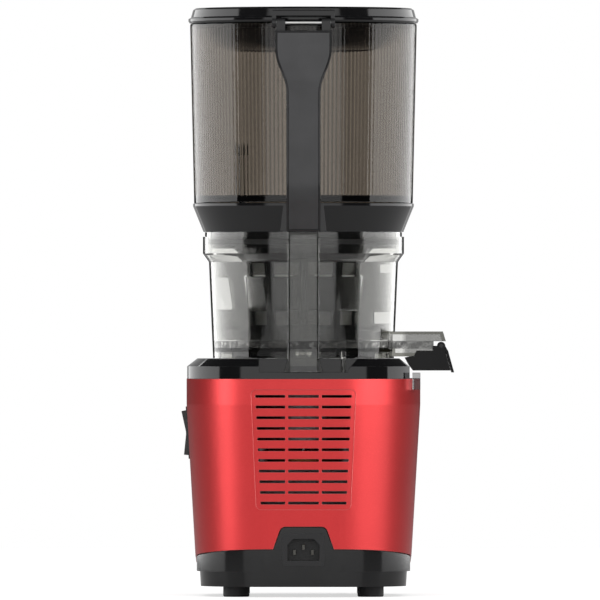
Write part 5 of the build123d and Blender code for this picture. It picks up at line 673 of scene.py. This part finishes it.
@dataclass(frozen=True)
class Perforated:
    """Thin steel sheet with rows of fine round holes."""

    name: str = "perforated_steel"
    colour: Colour = (0.97, 0.96, 0.93)
    hole: Colour = (0.02, 0.02, 0.02)
    metallic: float = 0.75
    columns: int = 210
    pitch: float = 0.0012
    hole_edge: Pair = (0.2, 0.35)
    hole_depth: float = 0.00005
    tone_cells: float = 120.0
    dirty: float = -0.2
    clean: float = 0.1
    roughness: Pair = (0.42, 0.54)

    def build(self) -> bpy.types.Material:
        """Makes the material: clouded steel that lets light through its holes.

        Returns:
            The material.
        """
        graph = Graph(self.name)
        around, up = graph.waves_around(self.columns), graph.waves_up(self.pitch)
        holes = graph.span(graph.sums("MULTIPLY", around, up), 0.0, 1.0, *self.hole_edge)
        tone = graph.clouds(self.tone_cells, CLOUDY)
        low, high = (lighter(self.colour, amount) for amount in (self.dirty, self.clean))
        graph.feed("Base Color", graph.blend(holes, graph.blend(tone, low, high), self.hole))
        graph.feed("Alpha", graph.span(holes, 1.0, 0.0, 0.0, 1.0))
        graph.feed("Roughness", graph.span(tone, *self.roughness, 0.0, 1.0))
        graph.constant(Metallic=self.metallic)
        graph.relief(graph.sums("SUBTRACT", tone, holes), self.hole_depth)
        return graph.material


FINISHES = (
    Moulding(
        "gloss_black",
        (0.0055, 0.0055, 0.006),
        0.07,
        spread=0.03,
        grain=500.0,
        depth=0.000004,
        wear=0.05,
    ),
    Moulding("gloss_black_switch", (0.0055, 0.0055, 0.006), 0.16, grain=900.0, wear=0.06),
    Moulding(
        "nozzle_black", (0.004, 0.004, 0.0045), 0.18, grain=1300.0, specular=0.2, wear=0.05
    ),
    Moulding("satin_black", (0.007, 0.007, 0.0075), 0.24, grain=1600.0, wear=0.05),
    Moulding("pan_black", (0.0045, 0.0045, 0.005), 0.1, spread=0.03, grain=1500.0, wear=0.06),
    Moulding("inlet_black", (0.008, 0.008, 0.009), 0.32, wear=0.05),
    Moulding("handle_grey", (0.05, 0.05, 0.052), 0.46, grain=2600.0, depth=0.00002, wear=0.05),
    Moulding("foot_rubber", (0.02, 0.02, 0.021), 0.62, grain=1100.0, depth=0.00004, wear=0.03),
    Moulding("silicone_grey", (0.16, 0.16, 0.165), 0.5, grain=700.0),
    Moulding("silicone_dark", (0.02, 0.02, 0.022), 0.45, grain=700.0),
    Moulding("nylon_white", (0.62, 0.6, 0.54), 0.42, grain=900.0),
    Moulding("parts_dark", (0.03, 0.03, 0.035), 0.4),
    Moulding("capacitor_white", (0.62, 0.62, 0.6), 0.3),
    Moulding("strainer_dark", (0.012, 0.0115, 0.01), 0.14, spread=0.04, grain=600.0, wear=0.06),
    Moulding("cage_grey", (0.03, 0.03, 0.029), 0.25, grain=900.0, wear=0.05),
    Moulding("auger_dark", (0.02, 0.019, 0.017), 0.2, spread=0.06, grain=600.0, wear=0.06),
    SatinPaint(),
    ClearPlastic(
        "bowl_smoke",
        (0.91, 0.91, 0.9),
        (50.0, 50.0, 54.0),
        roughness=0.02,
        deep_until=-0.077,
        speckled=(0.1935, 0.1992),
    ),
    ClearPlastic("cage_smoke", (0.4, 0.4, 0.39), (190.0, 190.0, 197.0), roughness=0.04),
    ClearPlastic(
        "wiper_smoke", (0.7, 0.7, 0.69), (90.0, 90.0, 92.0), roughness=0.3, ior=1.41
    ),
    ClearPlastic(
        "hopper_smoke", (0.68, 0.66, 0.63), (203.0, 226.0, 252.0), roughness=0.015, ribs=165
    ),
    ClearPlastic(
        "clip_clear", (0.62, 0.62, 0.62), (60.0, 60.0, 60.0), roughness=0.03, edge=0.0005
    ),
    Metal("steel_plated", (0.56, 0.56, 0.55), 0.32),
    Metal("steel_ground", (0.7, 0.69, 0.67), 0.24, Lay.UPRIGHT, marks=1600.0),
    Metal("steel_honed", (0.9, 0.89, 0.86), 0.34, Lay.UPRIGHT, metallic=0.4, marks=1600.0),
    Metal("steel_pin", (0.66, 0.66, 0.65), 0.3, Lay.ROUND, marks=1200.0),
    # Painted shade: the pins' nickel is darkened to near black, standing in for the shade they sit
    # in; real nickel is far lighter.
    Metal("nickel_pins_painted_shade", (0.1, 0.098, 0.09), 0.34),
    Metal("die_cast", (0.46, 0.47, 0.48), 0.5, marks=500.0, depth=0.00003),
    Metal("bronze_sintered", (0.5, 0.34, 0.16), 0.45, marks=1400.0, depth=0.00002),
    Metal("magnet_ferrite", (0.035, 0.035, 0.038), 0.45, marks=700.0),
    Banded("laminated_steel", (0.32, 0.33, 0.35), (0.05, 0.05, 0.055), 0.0008, 0.9, 0.42),
    Banded("copper_wire", (0.62, 0.25, 0.09), (0.16, 0.05, 0.02), 0.0011, 0.8, 0.34),
    CircuitBoard(),
    Perforated(),
)


class Finishes:
    """Every finish of the object, each made once."""

    def __init__(self) -> None:
        """Builds the materials and keeps them by name."""
        self.made: dict[str, bpy.types.Material] = {}
        for finish in FINISHES:
            self.made[finish.name] = finish.build()
            log.info("finish %s", finish.name)

    def dress(self, piece: bpy.types.Object, finish: str) -> None:
        """Gives every slot of a piece one finish.

        Args:
            piece: Piece to dress.
            finish: Name of the finish.
        """
        material = self.made[finish]
        if not piece.material_slots:
            piece.data.materials.append(material)
        for slot in piece.material_slots:
            slot.material = material


@dataclass
class Assembly:
    """What every sub-assembly shares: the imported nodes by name, and the finishes."""

    nodes: dict[str, bpy.types.Object]
    finishes: Finishes

    finishes_of_nodes: ClassVar[dict[str, str]] = {}

    def dress_nodes(self) -> None:
        """Gives each of this sub-assembly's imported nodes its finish."""
        for name, finish in self.finishes_of_nodes.items():
            self.finishes.dress(self.nodes[name], finish)
            log.info("node %s: %s", name, finish)

    def keep(
        self, mesh: bmesh.types.BMesh, name: str, finish: str, slot: str, body: str
    ) -> bpy.types.Object:
        """Makes a finished piece of a mesh and fixes it to a body.

        Args:
            mesh: Mesh in metres, in the object's frame.
            name: Name of the piece.
            finish: Name of its finish.
            slot: The record's material slot; not used.
            body: Body that carries the piece.

        Returns:
            The new object.
        """
        data = bpy.data.meshes.new(name)
        mesh.to_mesh(data)
        mesh.free()
        piece = bpy.data.objects.new(name, data)
        bpy.context.scene.collection.objects.link(piece)
        self.finishes.dress(piece, finish)
        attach(piece, body)
        log.info("piece %s on %s: %s", name, body, finish)
        return piece

    def build(self) -> None:
        """Dresses the nodes."""
        self.dress_nodes()


@dataclass
class Base(Assembly):
    """Motor base: feet, pan, casing, switch, cap and everything inside."""

    finishes_of_nodes: ClassVar[dict[str, str]] = {
        "rubber_feet": "foot_rubber",
        "base_pan": "pan_black",
        "base_screws": "steel_plated",
        "power_inlet": "inlet_black",
        # The pins get nickel darkened to near black: painted shade.
        "inlet_pins": "nickel_pins_painted_shade",
        "outer_shell": "satin_red",
        "switch_housing": "gloss_black_switch",
        "switch_rocker": "gloss_black_switch",
        "top_cap": "gloss_black",
        "edge_clip": "clip_clear",
        "drive_shaft_seal": "silicone_grey",
        "motor_stator": "laminated_steel",
        "motor_windings": "copper_wire",
        "motor_bracket": "die_cast",
        "motor_bearings": "bronze_sintered",
        "motor_screws": "steel_plated",
        "motor_rotor": "laminated_steel",
        "motor_shaft": "steel_ground",
        "cooling_fan": "nylon_white",
        "gearbox_case": "die_cast",
        "gearbox_cover": "die_cast",
        "gearbox_bushes": "bronze_sintered",
        "rubber_mounts": "foot_rubber",
        "gearbox_screws": "steel_plated",
        "countershaft": "steel_ground",
        "first_gear": "nylon_white",
        "output_gear": "nylon_white",
        "drive_shaft": "steel_ground",
        "control_board": "board_green",
        "board_parts": "parts_dark",
        "run_capacitor": "capacitor_white",
        "interlock_sensor": "parts_dark",
    }


@dataclass
class Bowl(Assembly):
    """Clear bowl with its spout, strainer, brush cage and auger."""

    finishes_of_nodes: ClassVar[dict[str, str]] = {
        "juicing_bowl": "bowl_smoke",
        "column_magnet": "magnet_ferrite",
        "pulp_plug": "silicone_dark",
        "bowl_shaft_seal": "silicone_dark",
        "idler_pin": "steel_pin",
        "idler_gear": "cage_grey",
        "juice_nozzle": "nozzle_black",
        "flap_pin": "satin_black",
        "drip_flap": "nozzle_black",
        "strainer_frame": "strainer_dark",
        "strainer_mesh": "perforated_steel",
        "brush_cage": "cage_smoke",
        "brush_wipers": "wiper_smoke",
        "auger": "auger_dark",
        "auger_insert": "steel_plated",
    }


@dataclass
class Hopper(Assembly):
    """Hopper with base ring, fluted wall, handle, hinge and cutting wing; sizes in millimetres."""

    foot: float = 300.0
    ledge: float = 307.0
    foot_inner_top: float = 309.6
    flute_from: float = 313.5
    flute_to: float = 444.0
    top: float = 448.0
    foot_outer: float = 83.2
    outer_low: float = 85.7
    outer_top: float = 88.85
    thickness: float = 2.6
    ledge_chamfer: float = 0.4
    ledge_loop: float = 1.5
    top_loop: float = 2.5
    rim_chamfer: float = 0.8
    rim_draft: float = 0.1
    rim_inner_chamfer: float = 0.5
    flute_end: float = 1.2
    flute_count: int = 165
    flute_steps: int = 4
    flute_depth: float = 0.14
    flute_slack: float = 0.1
    inside_slack: float = 0.01
    boss_half: float = 12.0
    boss_back: float = 97.0
    boss_low: float = 425.0
    boss_top: float = 437.0
    boss_sunk: float = 0.6
    merge: float = 1e-7
    level_normal: float = 0.3

    finishes_of_nodes: ClassVar[dict[str, str]] = {
        "hopper_base_ring": "gloss_black",
        "hopper_gasket": "silicone_dark",
        "handle_body": "satin_black",
        "handle_cover": "handle_grey",
        "handle_screws": "steel_plated",
        "lid_hinge_pin": "steel_pin",
        "cutting_wing": "satin_black",
        "wing_blades": "steel_honed",
    }

    def outer(self, height: float) -> float:
        """Outer radius of the wall at a height, in millimetres."""
        share = (height - self.ledge) / (self.top - self.ledge)
        return self.outer_low + share * (self.outer_top - self.outer_low)

    def inner(self, height: float) -> float:
        """Inner radius of the wall at a height, without its flutes, in millimetres."""
        return self.outer(height) - self.thickness

    def section(self) -> list[Pair]:
        """Closed section of the wall, up its outside and down its inside.

        Returns:
            Radius and height of each corner, in millimetres.
        """
        foot_inner = self.foot_outer - self.thickness
        inner_from = self.foot_inner_top + self.thickness
        loop_low = self.ledge + self.ledge_loop
        loop_high = self.top - self.top_loop
        flute_end = self.flute_to + self.flute_end
        return [
            (foot_inner, self.foot),
            (self.foot_outer, self.foot),
            (self.foot_outer, self.ledge - self.ledge_chamfer),
            (self.foot_outer + self.ledge_chamfer, self.ledge),
            (self.outer(self.ledge) - self.ledge_chamfer, self.ledge),
            (self.outer(self.ledge), self.ledge + self.ledge_chamfer),
            (self.outer(loop_low), loop_low),
            (self.outer(loop_high), loop_high),
            (self.outer(self.top) - self.rim_draft, self.top - self.rim_chamfer),
            (self.outer(self.top) - self.rim_chamfer, self.top),
            (self.inner(self.top) + self.rim_inner_chamfer, self.top),
            (self.inner(self.top), self.top - self.rim_inner_chamfer),
            (self.inner(flute_end), flute_end),
            (self.inner(self.flute_to), self.flute_to),
            (self.inner(self.flute_from), self.flute_from),
            (self.inner(inner_from), inner_from),
            (foot_inner, self.foot_inner_top),
        ]

    def turned(self) -> bmesh.types.BMesh:
        """Turns the section once around the upright axis.

        Returns:
            The plain wall, in metres.
        """
        mesh = bmesh.new()
        verts = [
            mesh.verts.new((radius * MM, 0.0, height * MM)) for radius, height in self.section()
        ]
        edges = [mesh.edges.new(pair) for pair in zip(verts, verts[1:] + verts[:1])]
        bmesh.ops.spin(
            mesh,
            geom=verts + edges,
            cent=(0, 0, 0),
            axis=(0, 0, 1),
            angle=TURN,
            steps=self.flute_steps * self.flute_count,
            use_merge=True,
        )
        bmesh.ops.remove_doubles(mesh, verts=mesh.verts, dist=self.merge)
        bmesh.ops.recalc_face_normals(mesh, faces=mesh.faces)
        return mesh

    def flute(self, mesh: bmesh.types.BMesh) -> None:
        """Hollows upright flutes into the inside of the wall.

        Args:
            mesh: Plain wall, in metres.
        """
        for vert in mesh.verts:
            height = vert.co.z / MM
            radius = Vector((vert.co.x, vert.co.y)).length
            inside = radius / MM < self.inner(height) + self.inside_slack
            low, high = self.flute_from - self.flute_slack, self.flute_to + self.flute_slack
            if inside and low < height < high:
                turns = math.atan2(vert.co.y, vert.co.x) / TURN
                hollow = 0.5 - 0.5 * math.cos(TURN * turns * self.flute_count)
                grow = 1 + hollow * self.flute_depth * MM / radius
                vert.co.x *= grow
                vert.co.y *= grow

    def add_boss(self, mesh: bmesh.types.BMesh) -> None:
        """Adds the block on the back of the wall that the handle is fixed to.

        Args:
            mesh: Wall, in metres.
        """
        boss = bmesh.ops.create_cube(mesh, size=1.0)["verts"]
        front = self.outer(self.boss_low) - self.boss_sunk
        size = Vector((2 * self.boss_half, self.boss_back - front, self.boss_top - self.boss_low))
        middle = Vector((0, (self.boss_back + front) / 2, (self.boss_top + self.boss_low) / 2))
        bmesh.ops.scale(mesh, verts=boss, vec=size * MM)
        bmesh.ops.translate(mesh, verts=boss, vec=middle * MM)

    def wall(self) -> None:
        """Makes the clear wall with upright flutes on its inside, in place of the plain node."""
        mesh = self.turned()
        self.flute(mesh)
        self.add_boss(mesh)
        for face in mesh.faces:
            face.smooth = abs(face.normal.z) < self.level_normal
        piece = self.keep(mesh, "fluted_wall", "hopper_smoke", "hopper_smoke", "hopper")
        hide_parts("hopper_wall")

    def build(self) -> None:
        """Dresses the nodes and makes the fluted wall."""
        self.dress_nodes()
        self.wall()


@dataclass
class Lid(Assembly):
    """Hinged lid with its liner and seal."""

    finishes_of_nodes: ClassVar[dict[str, str]] = {
        "lid_shell": "gloss_black",
        "lid_liner": "gloss_black",
        "lid_seal": "silicone_dark",
    }


@dataclass
class Studio:
    """Floor, lights, surroundings and camera; lengths in metres, angles in degrees."""

    clear: tuple[str, ...] = (
        "juicing_bowl",
        "brush_cage",
        "brush_wipers",
        "fluted_wall",
        "edge_clip",
    )

    distance: float = 12.0
    aim: Colour = (0.0027, 0.0, 0.2315)
    frame: float = 0.4704
    sensor: float = 36.0
    clip_end: float = 60.0

    ambient: float = 0.62
    front: float = 1.2
    front_to: float = 40.5
    front_fade: float = 0.008
    dark: float = 0.05
    high_dark: float = 0.35
    high_fade: Pair = (0.55, 0.8)

    floor_half: float = 2.2
    floor_tone: float = 0.55
    floor_cloud: float = 0.01
    floor_cells: float = 8.0
    floor_roughness: float = 0.9
    floor_specular: float = 0.1
    floor_lift: float = 0.64

    over_place: Colour = (0.0, 0.6, 2.2)
    over_size: Pair = (2.2, 2.2)
    over_watts: float = 26.0
    paint_watts: Pair = (22.5, 16.0)
    paint_turns: Pair = (51.0, 62.0)
    paint_sizes: tuple[Pair, Pair] = ((1.45, 1.4), (0.66, 1.4))
    edge_watts: float = 46.0
    edge_turn: float = 114.0
    edge_size: Pair = (2.8, 2.4)
    facing_watts: float = 4.0
    facing_turn: float = 180.0
    facing_size: Pair = (1.5, 2.0)
    reach: float = 1.6

    def camera(self) -> None:
        """Sets up a long lens square to the back."""
        data = bpy.data.cameras.new("camera")
        data.sensor_width = self.sensor
        data.lens = self.sensor * self.distance / self.frame
        data.clip_end = self.clip_end
        camera = bpy.data.objects.new("camera", data)
        camera.location = Vector(self.aim) + Vector((0, self.distance, 0))
        camera.rotation_euler = (math.pi / 2, 0, math.pi)
        bpy.context.scene.collection.objects.link(camera)
        bpy.context.scene.camera = camera

    def paper(self) -> bpy.types.Material:
        """Makes the floor's finish, which glows to the camera up to white.

        Returns:
            The material.
        """
        graph = Graph("floor_paper")
        low, high = self.floor_tone - self.floor_cloud, self.floor_tone + self.floor_cloud
        tone = graph.span(graph.noise(self.floor_cells, CLOUDY), low, high)
        graph.feed("Base Color", tone)
        graph.constant(Roughness=self.floor_roughness, Specular_IOR_Level=self.floor_specular)
        path = graph.node("ShaderNodeLightPath").outputs
        seen = graph.sums("MAXIMUM", path["Is Camera Ray"], path["Is Transmission Ray"])
        glow = graph.node("ShaderNodeEmission")
        graph.link(graph.sums("MULTIPLY", seen, self.floor_lift), glow.inputs["Strength"])
        both = graph.node("ShaderNodeAddShader")
        graph.link(graph.shader.outputs[0], both.inputs[0])
        graph.link(glow.outputs[0], both.inputs[1])
        graph.link(both.outputs[0], graph.output.inputs["Surface"])
        return graph.material

    def floor(self) -> None:
        """Makes the pale floor, white to the camera where nothing shades it."""
        mesh = bmesh.new()
        bmesh.ops.create_grid(mesh, x_segments=1, y_segments=1, size=self.floor_half)
        data = bpy.data.meshes.new("floor")
        mesh.to_mesh(data)
        mesh.free()
        floor = bpy.data.objects.new("floor", data)
        bpy.context.scene.collection.objects.link(floor)
        data.materials.append(self.paper())

    def panel(self, tree: Tree) -> tuple[Socket, Socket]:
        """What reflections see: one broad pale panel in front, dark sides and a dim sky.

        Args:
            tree: Node tree of the surroundings.

        Returns:
            The grey level, and the strength it is shown at.
        """
        split = tree.node("ShaderNodeSeparateXYZ")
        tree.link(tree.node("ShaderNodeTexCoord").outputs["Generated"], split.inputs[0])
        east, north, up = (split.outputs[axis] for axis in ("X", "Y", "Z"))
        aside = tree.sums("ARCTAN2", tree.sums("ABSOLUTE", east), north)
        edge = self.front_to / 180
        shaded = self.dark / self.front
        bands = (
            (0.0, 1.0),
            (edge - self.front_fade, 1.0),
            (edge + self.front_fade, shaded),
            (1.0, shaded),
        )
        level = tree.steps(tree.sums("DIVIDE", aside, math.pi), bands)
        dimmed = tree.span(up, 1.0, self.high_dark, *self.high_fade)
        return level, tree.sums("MULTIPLY", dimmed, self.front)

    def surroundings(self) -> None:
        """Makes the white surroundings, in which only reflections see the panel."""
        world = bpy.data.worlds.new("surroundings")
        bpy.context.scene.world = world
        world.use_nodes = True
        world.node_tree.nodes.clear()
        tree = Tree(world.node_tree)
        plain, seen, mirrored = (tree.node("ShaderNodeBackground") for _ in range(3))
        for background in (plain, seen):
            background.inputs["Color"].default_value = (1.0, 1.0, 1.0, 1.0)
        plain.inputs["Strength"].default_value = self.ambient
        level, strength = self.panel(tree)
        tree.link(level, mirrored.inputs["Color"])
        tree.link(strength, mirrored.inputs["Strength"])
        path = tree.node("ShaderNodeLightPath").outputs
        turned = tree.sums("MINIMUM", path["Glossy Depth"], 1.0)
        shown = tree.either(turned, seen.outputs[0], mirrored.outputs[0])
        lit = tree.either(path["Is Diffuse Ray"], shown, plain.outputs[0])
        tree.link(lit, tree.node("ShaderNodeOutputWorld").inputs["Surface"])
        world.cycles.sampling_method = "NONE"

    def lamp(self, name: str, place: Colour, size: Pair, watts: float) -> bpy.types.Object:
        """Adds a softbox aimed at the object's middle.

        Args:
            name: Name of the lamp.
            place: Where it stands, in metres.
            size: Width and height of its face, in metres.
            watts: Its power.

        Returns:
            The lamp.
        """
        data = bpy.data.lights.new(name, "AREA")
        data.shape = "RECTANGLE"
        data.size, data.size_y = size
        data.energy = watts
        lamp = bpy.data.objects.new(name, data)
        lamp.location = place
        aimed = (Vector(self.aim) - Vector(place)).to_track_quat("-Z", "Y")
        lamp.rotation_euler = aimed.to_euler()
        lamp.visible_camera = False
        bpy.context.scene.collection.objects.link(lamp)
        return lamp

    def takers(self, name: str, pieces: list[bpy.types.Object]) -> bpy.types.Collection:
        """Gathers the pieces that some lamps light.

        Args:
            name: Name of the collection.
            pieces: Pieces to gather.

        Returns:
            The collection.
        """
        made = bpy.data.collections.new(name)
        for piece in pieces:
            made.objects.link(piece)
        return made

    def beside(self, turn: float) -> Colour:
        """Place level with the aim, turned from the back, to the left where it is positive."""
        angle = math.radians(turn)
        return (self.reach * math.sin(angle), self.reach * math.cos(angle), self.aim[2])

    def lamps(self, casing: bpy.types.Object) -> None:
        """Adds the soft overhead light, the paint's strips, the side lamps and one in front.

        Args:
            casing: Painted casing that the strip lamps light.
        """
        over = self.lamp("over", self.over_place, self.over_size, self.over_watts)
        over.visible_glossy = False
        meshes = [piece for piece in bpy.context.scene.objects if piece.type == "MESH"]
        others = [piece for piece in meshes if piece is not casing]
        opaque = [piece for piece in others if piece.name not in self.clear]
        paint = self.takers("paint_takers", [casing])
        rest = self.takers("side_takers", others)
        solid = self.takers("facing_takers", opaque)
        strips = zip(
            (-1, 1), ("right", "left"), self.paint_turns, self.paint_sizes, self.paint_watts
        )
        for hand, side, turn, size, watts in strips:
            strip = self.lamp(f"strip_{side}", self.beside(hand * turn), size, watts)
            strip.light_linking.receiver_collection = paint
            place = self.beside(hand * self.edge_turn)
            broad = self.lamp(f"side_{side}", place, self.edge_size, self.edge_watts)
            broad.light_linking.receiver_collection = rest
        place = self.beside(self.facing_turn)
        facing = self.lamp("facing", place, self.facing_size, self.facing_watts)
        facing.light_linking.receiver_collection = solid

    def build(self, casing: bpy.types.Object) -> None:
        """Makes the whole studio; the floor comes last, so no linked lamp lights it.

        Args:
            casing: Painted casing that the strip lamps light.
        """
        self.camera()
        self.surroundings()
        self.lamps(casing)
        self.floor()


def main() -> None:
    """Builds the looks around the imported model."""
    logging.basicConfig(level=logging.INFO, format="%(name)s: %(message)s")
    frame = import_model()
    nodes = frame["nodes"]
    finishes = Finishes()
    for assembly in (Base, Bowl, Hopper, Lid):
        assembly(nodes, finishes).build()
        log.info("%s done", assembly.__name__)
    Studio().build(nodes["outer_shell"])
    bpy.context.scene.view_settings.view_transform = "Standard"


if __name__ == "__main__":
    main()
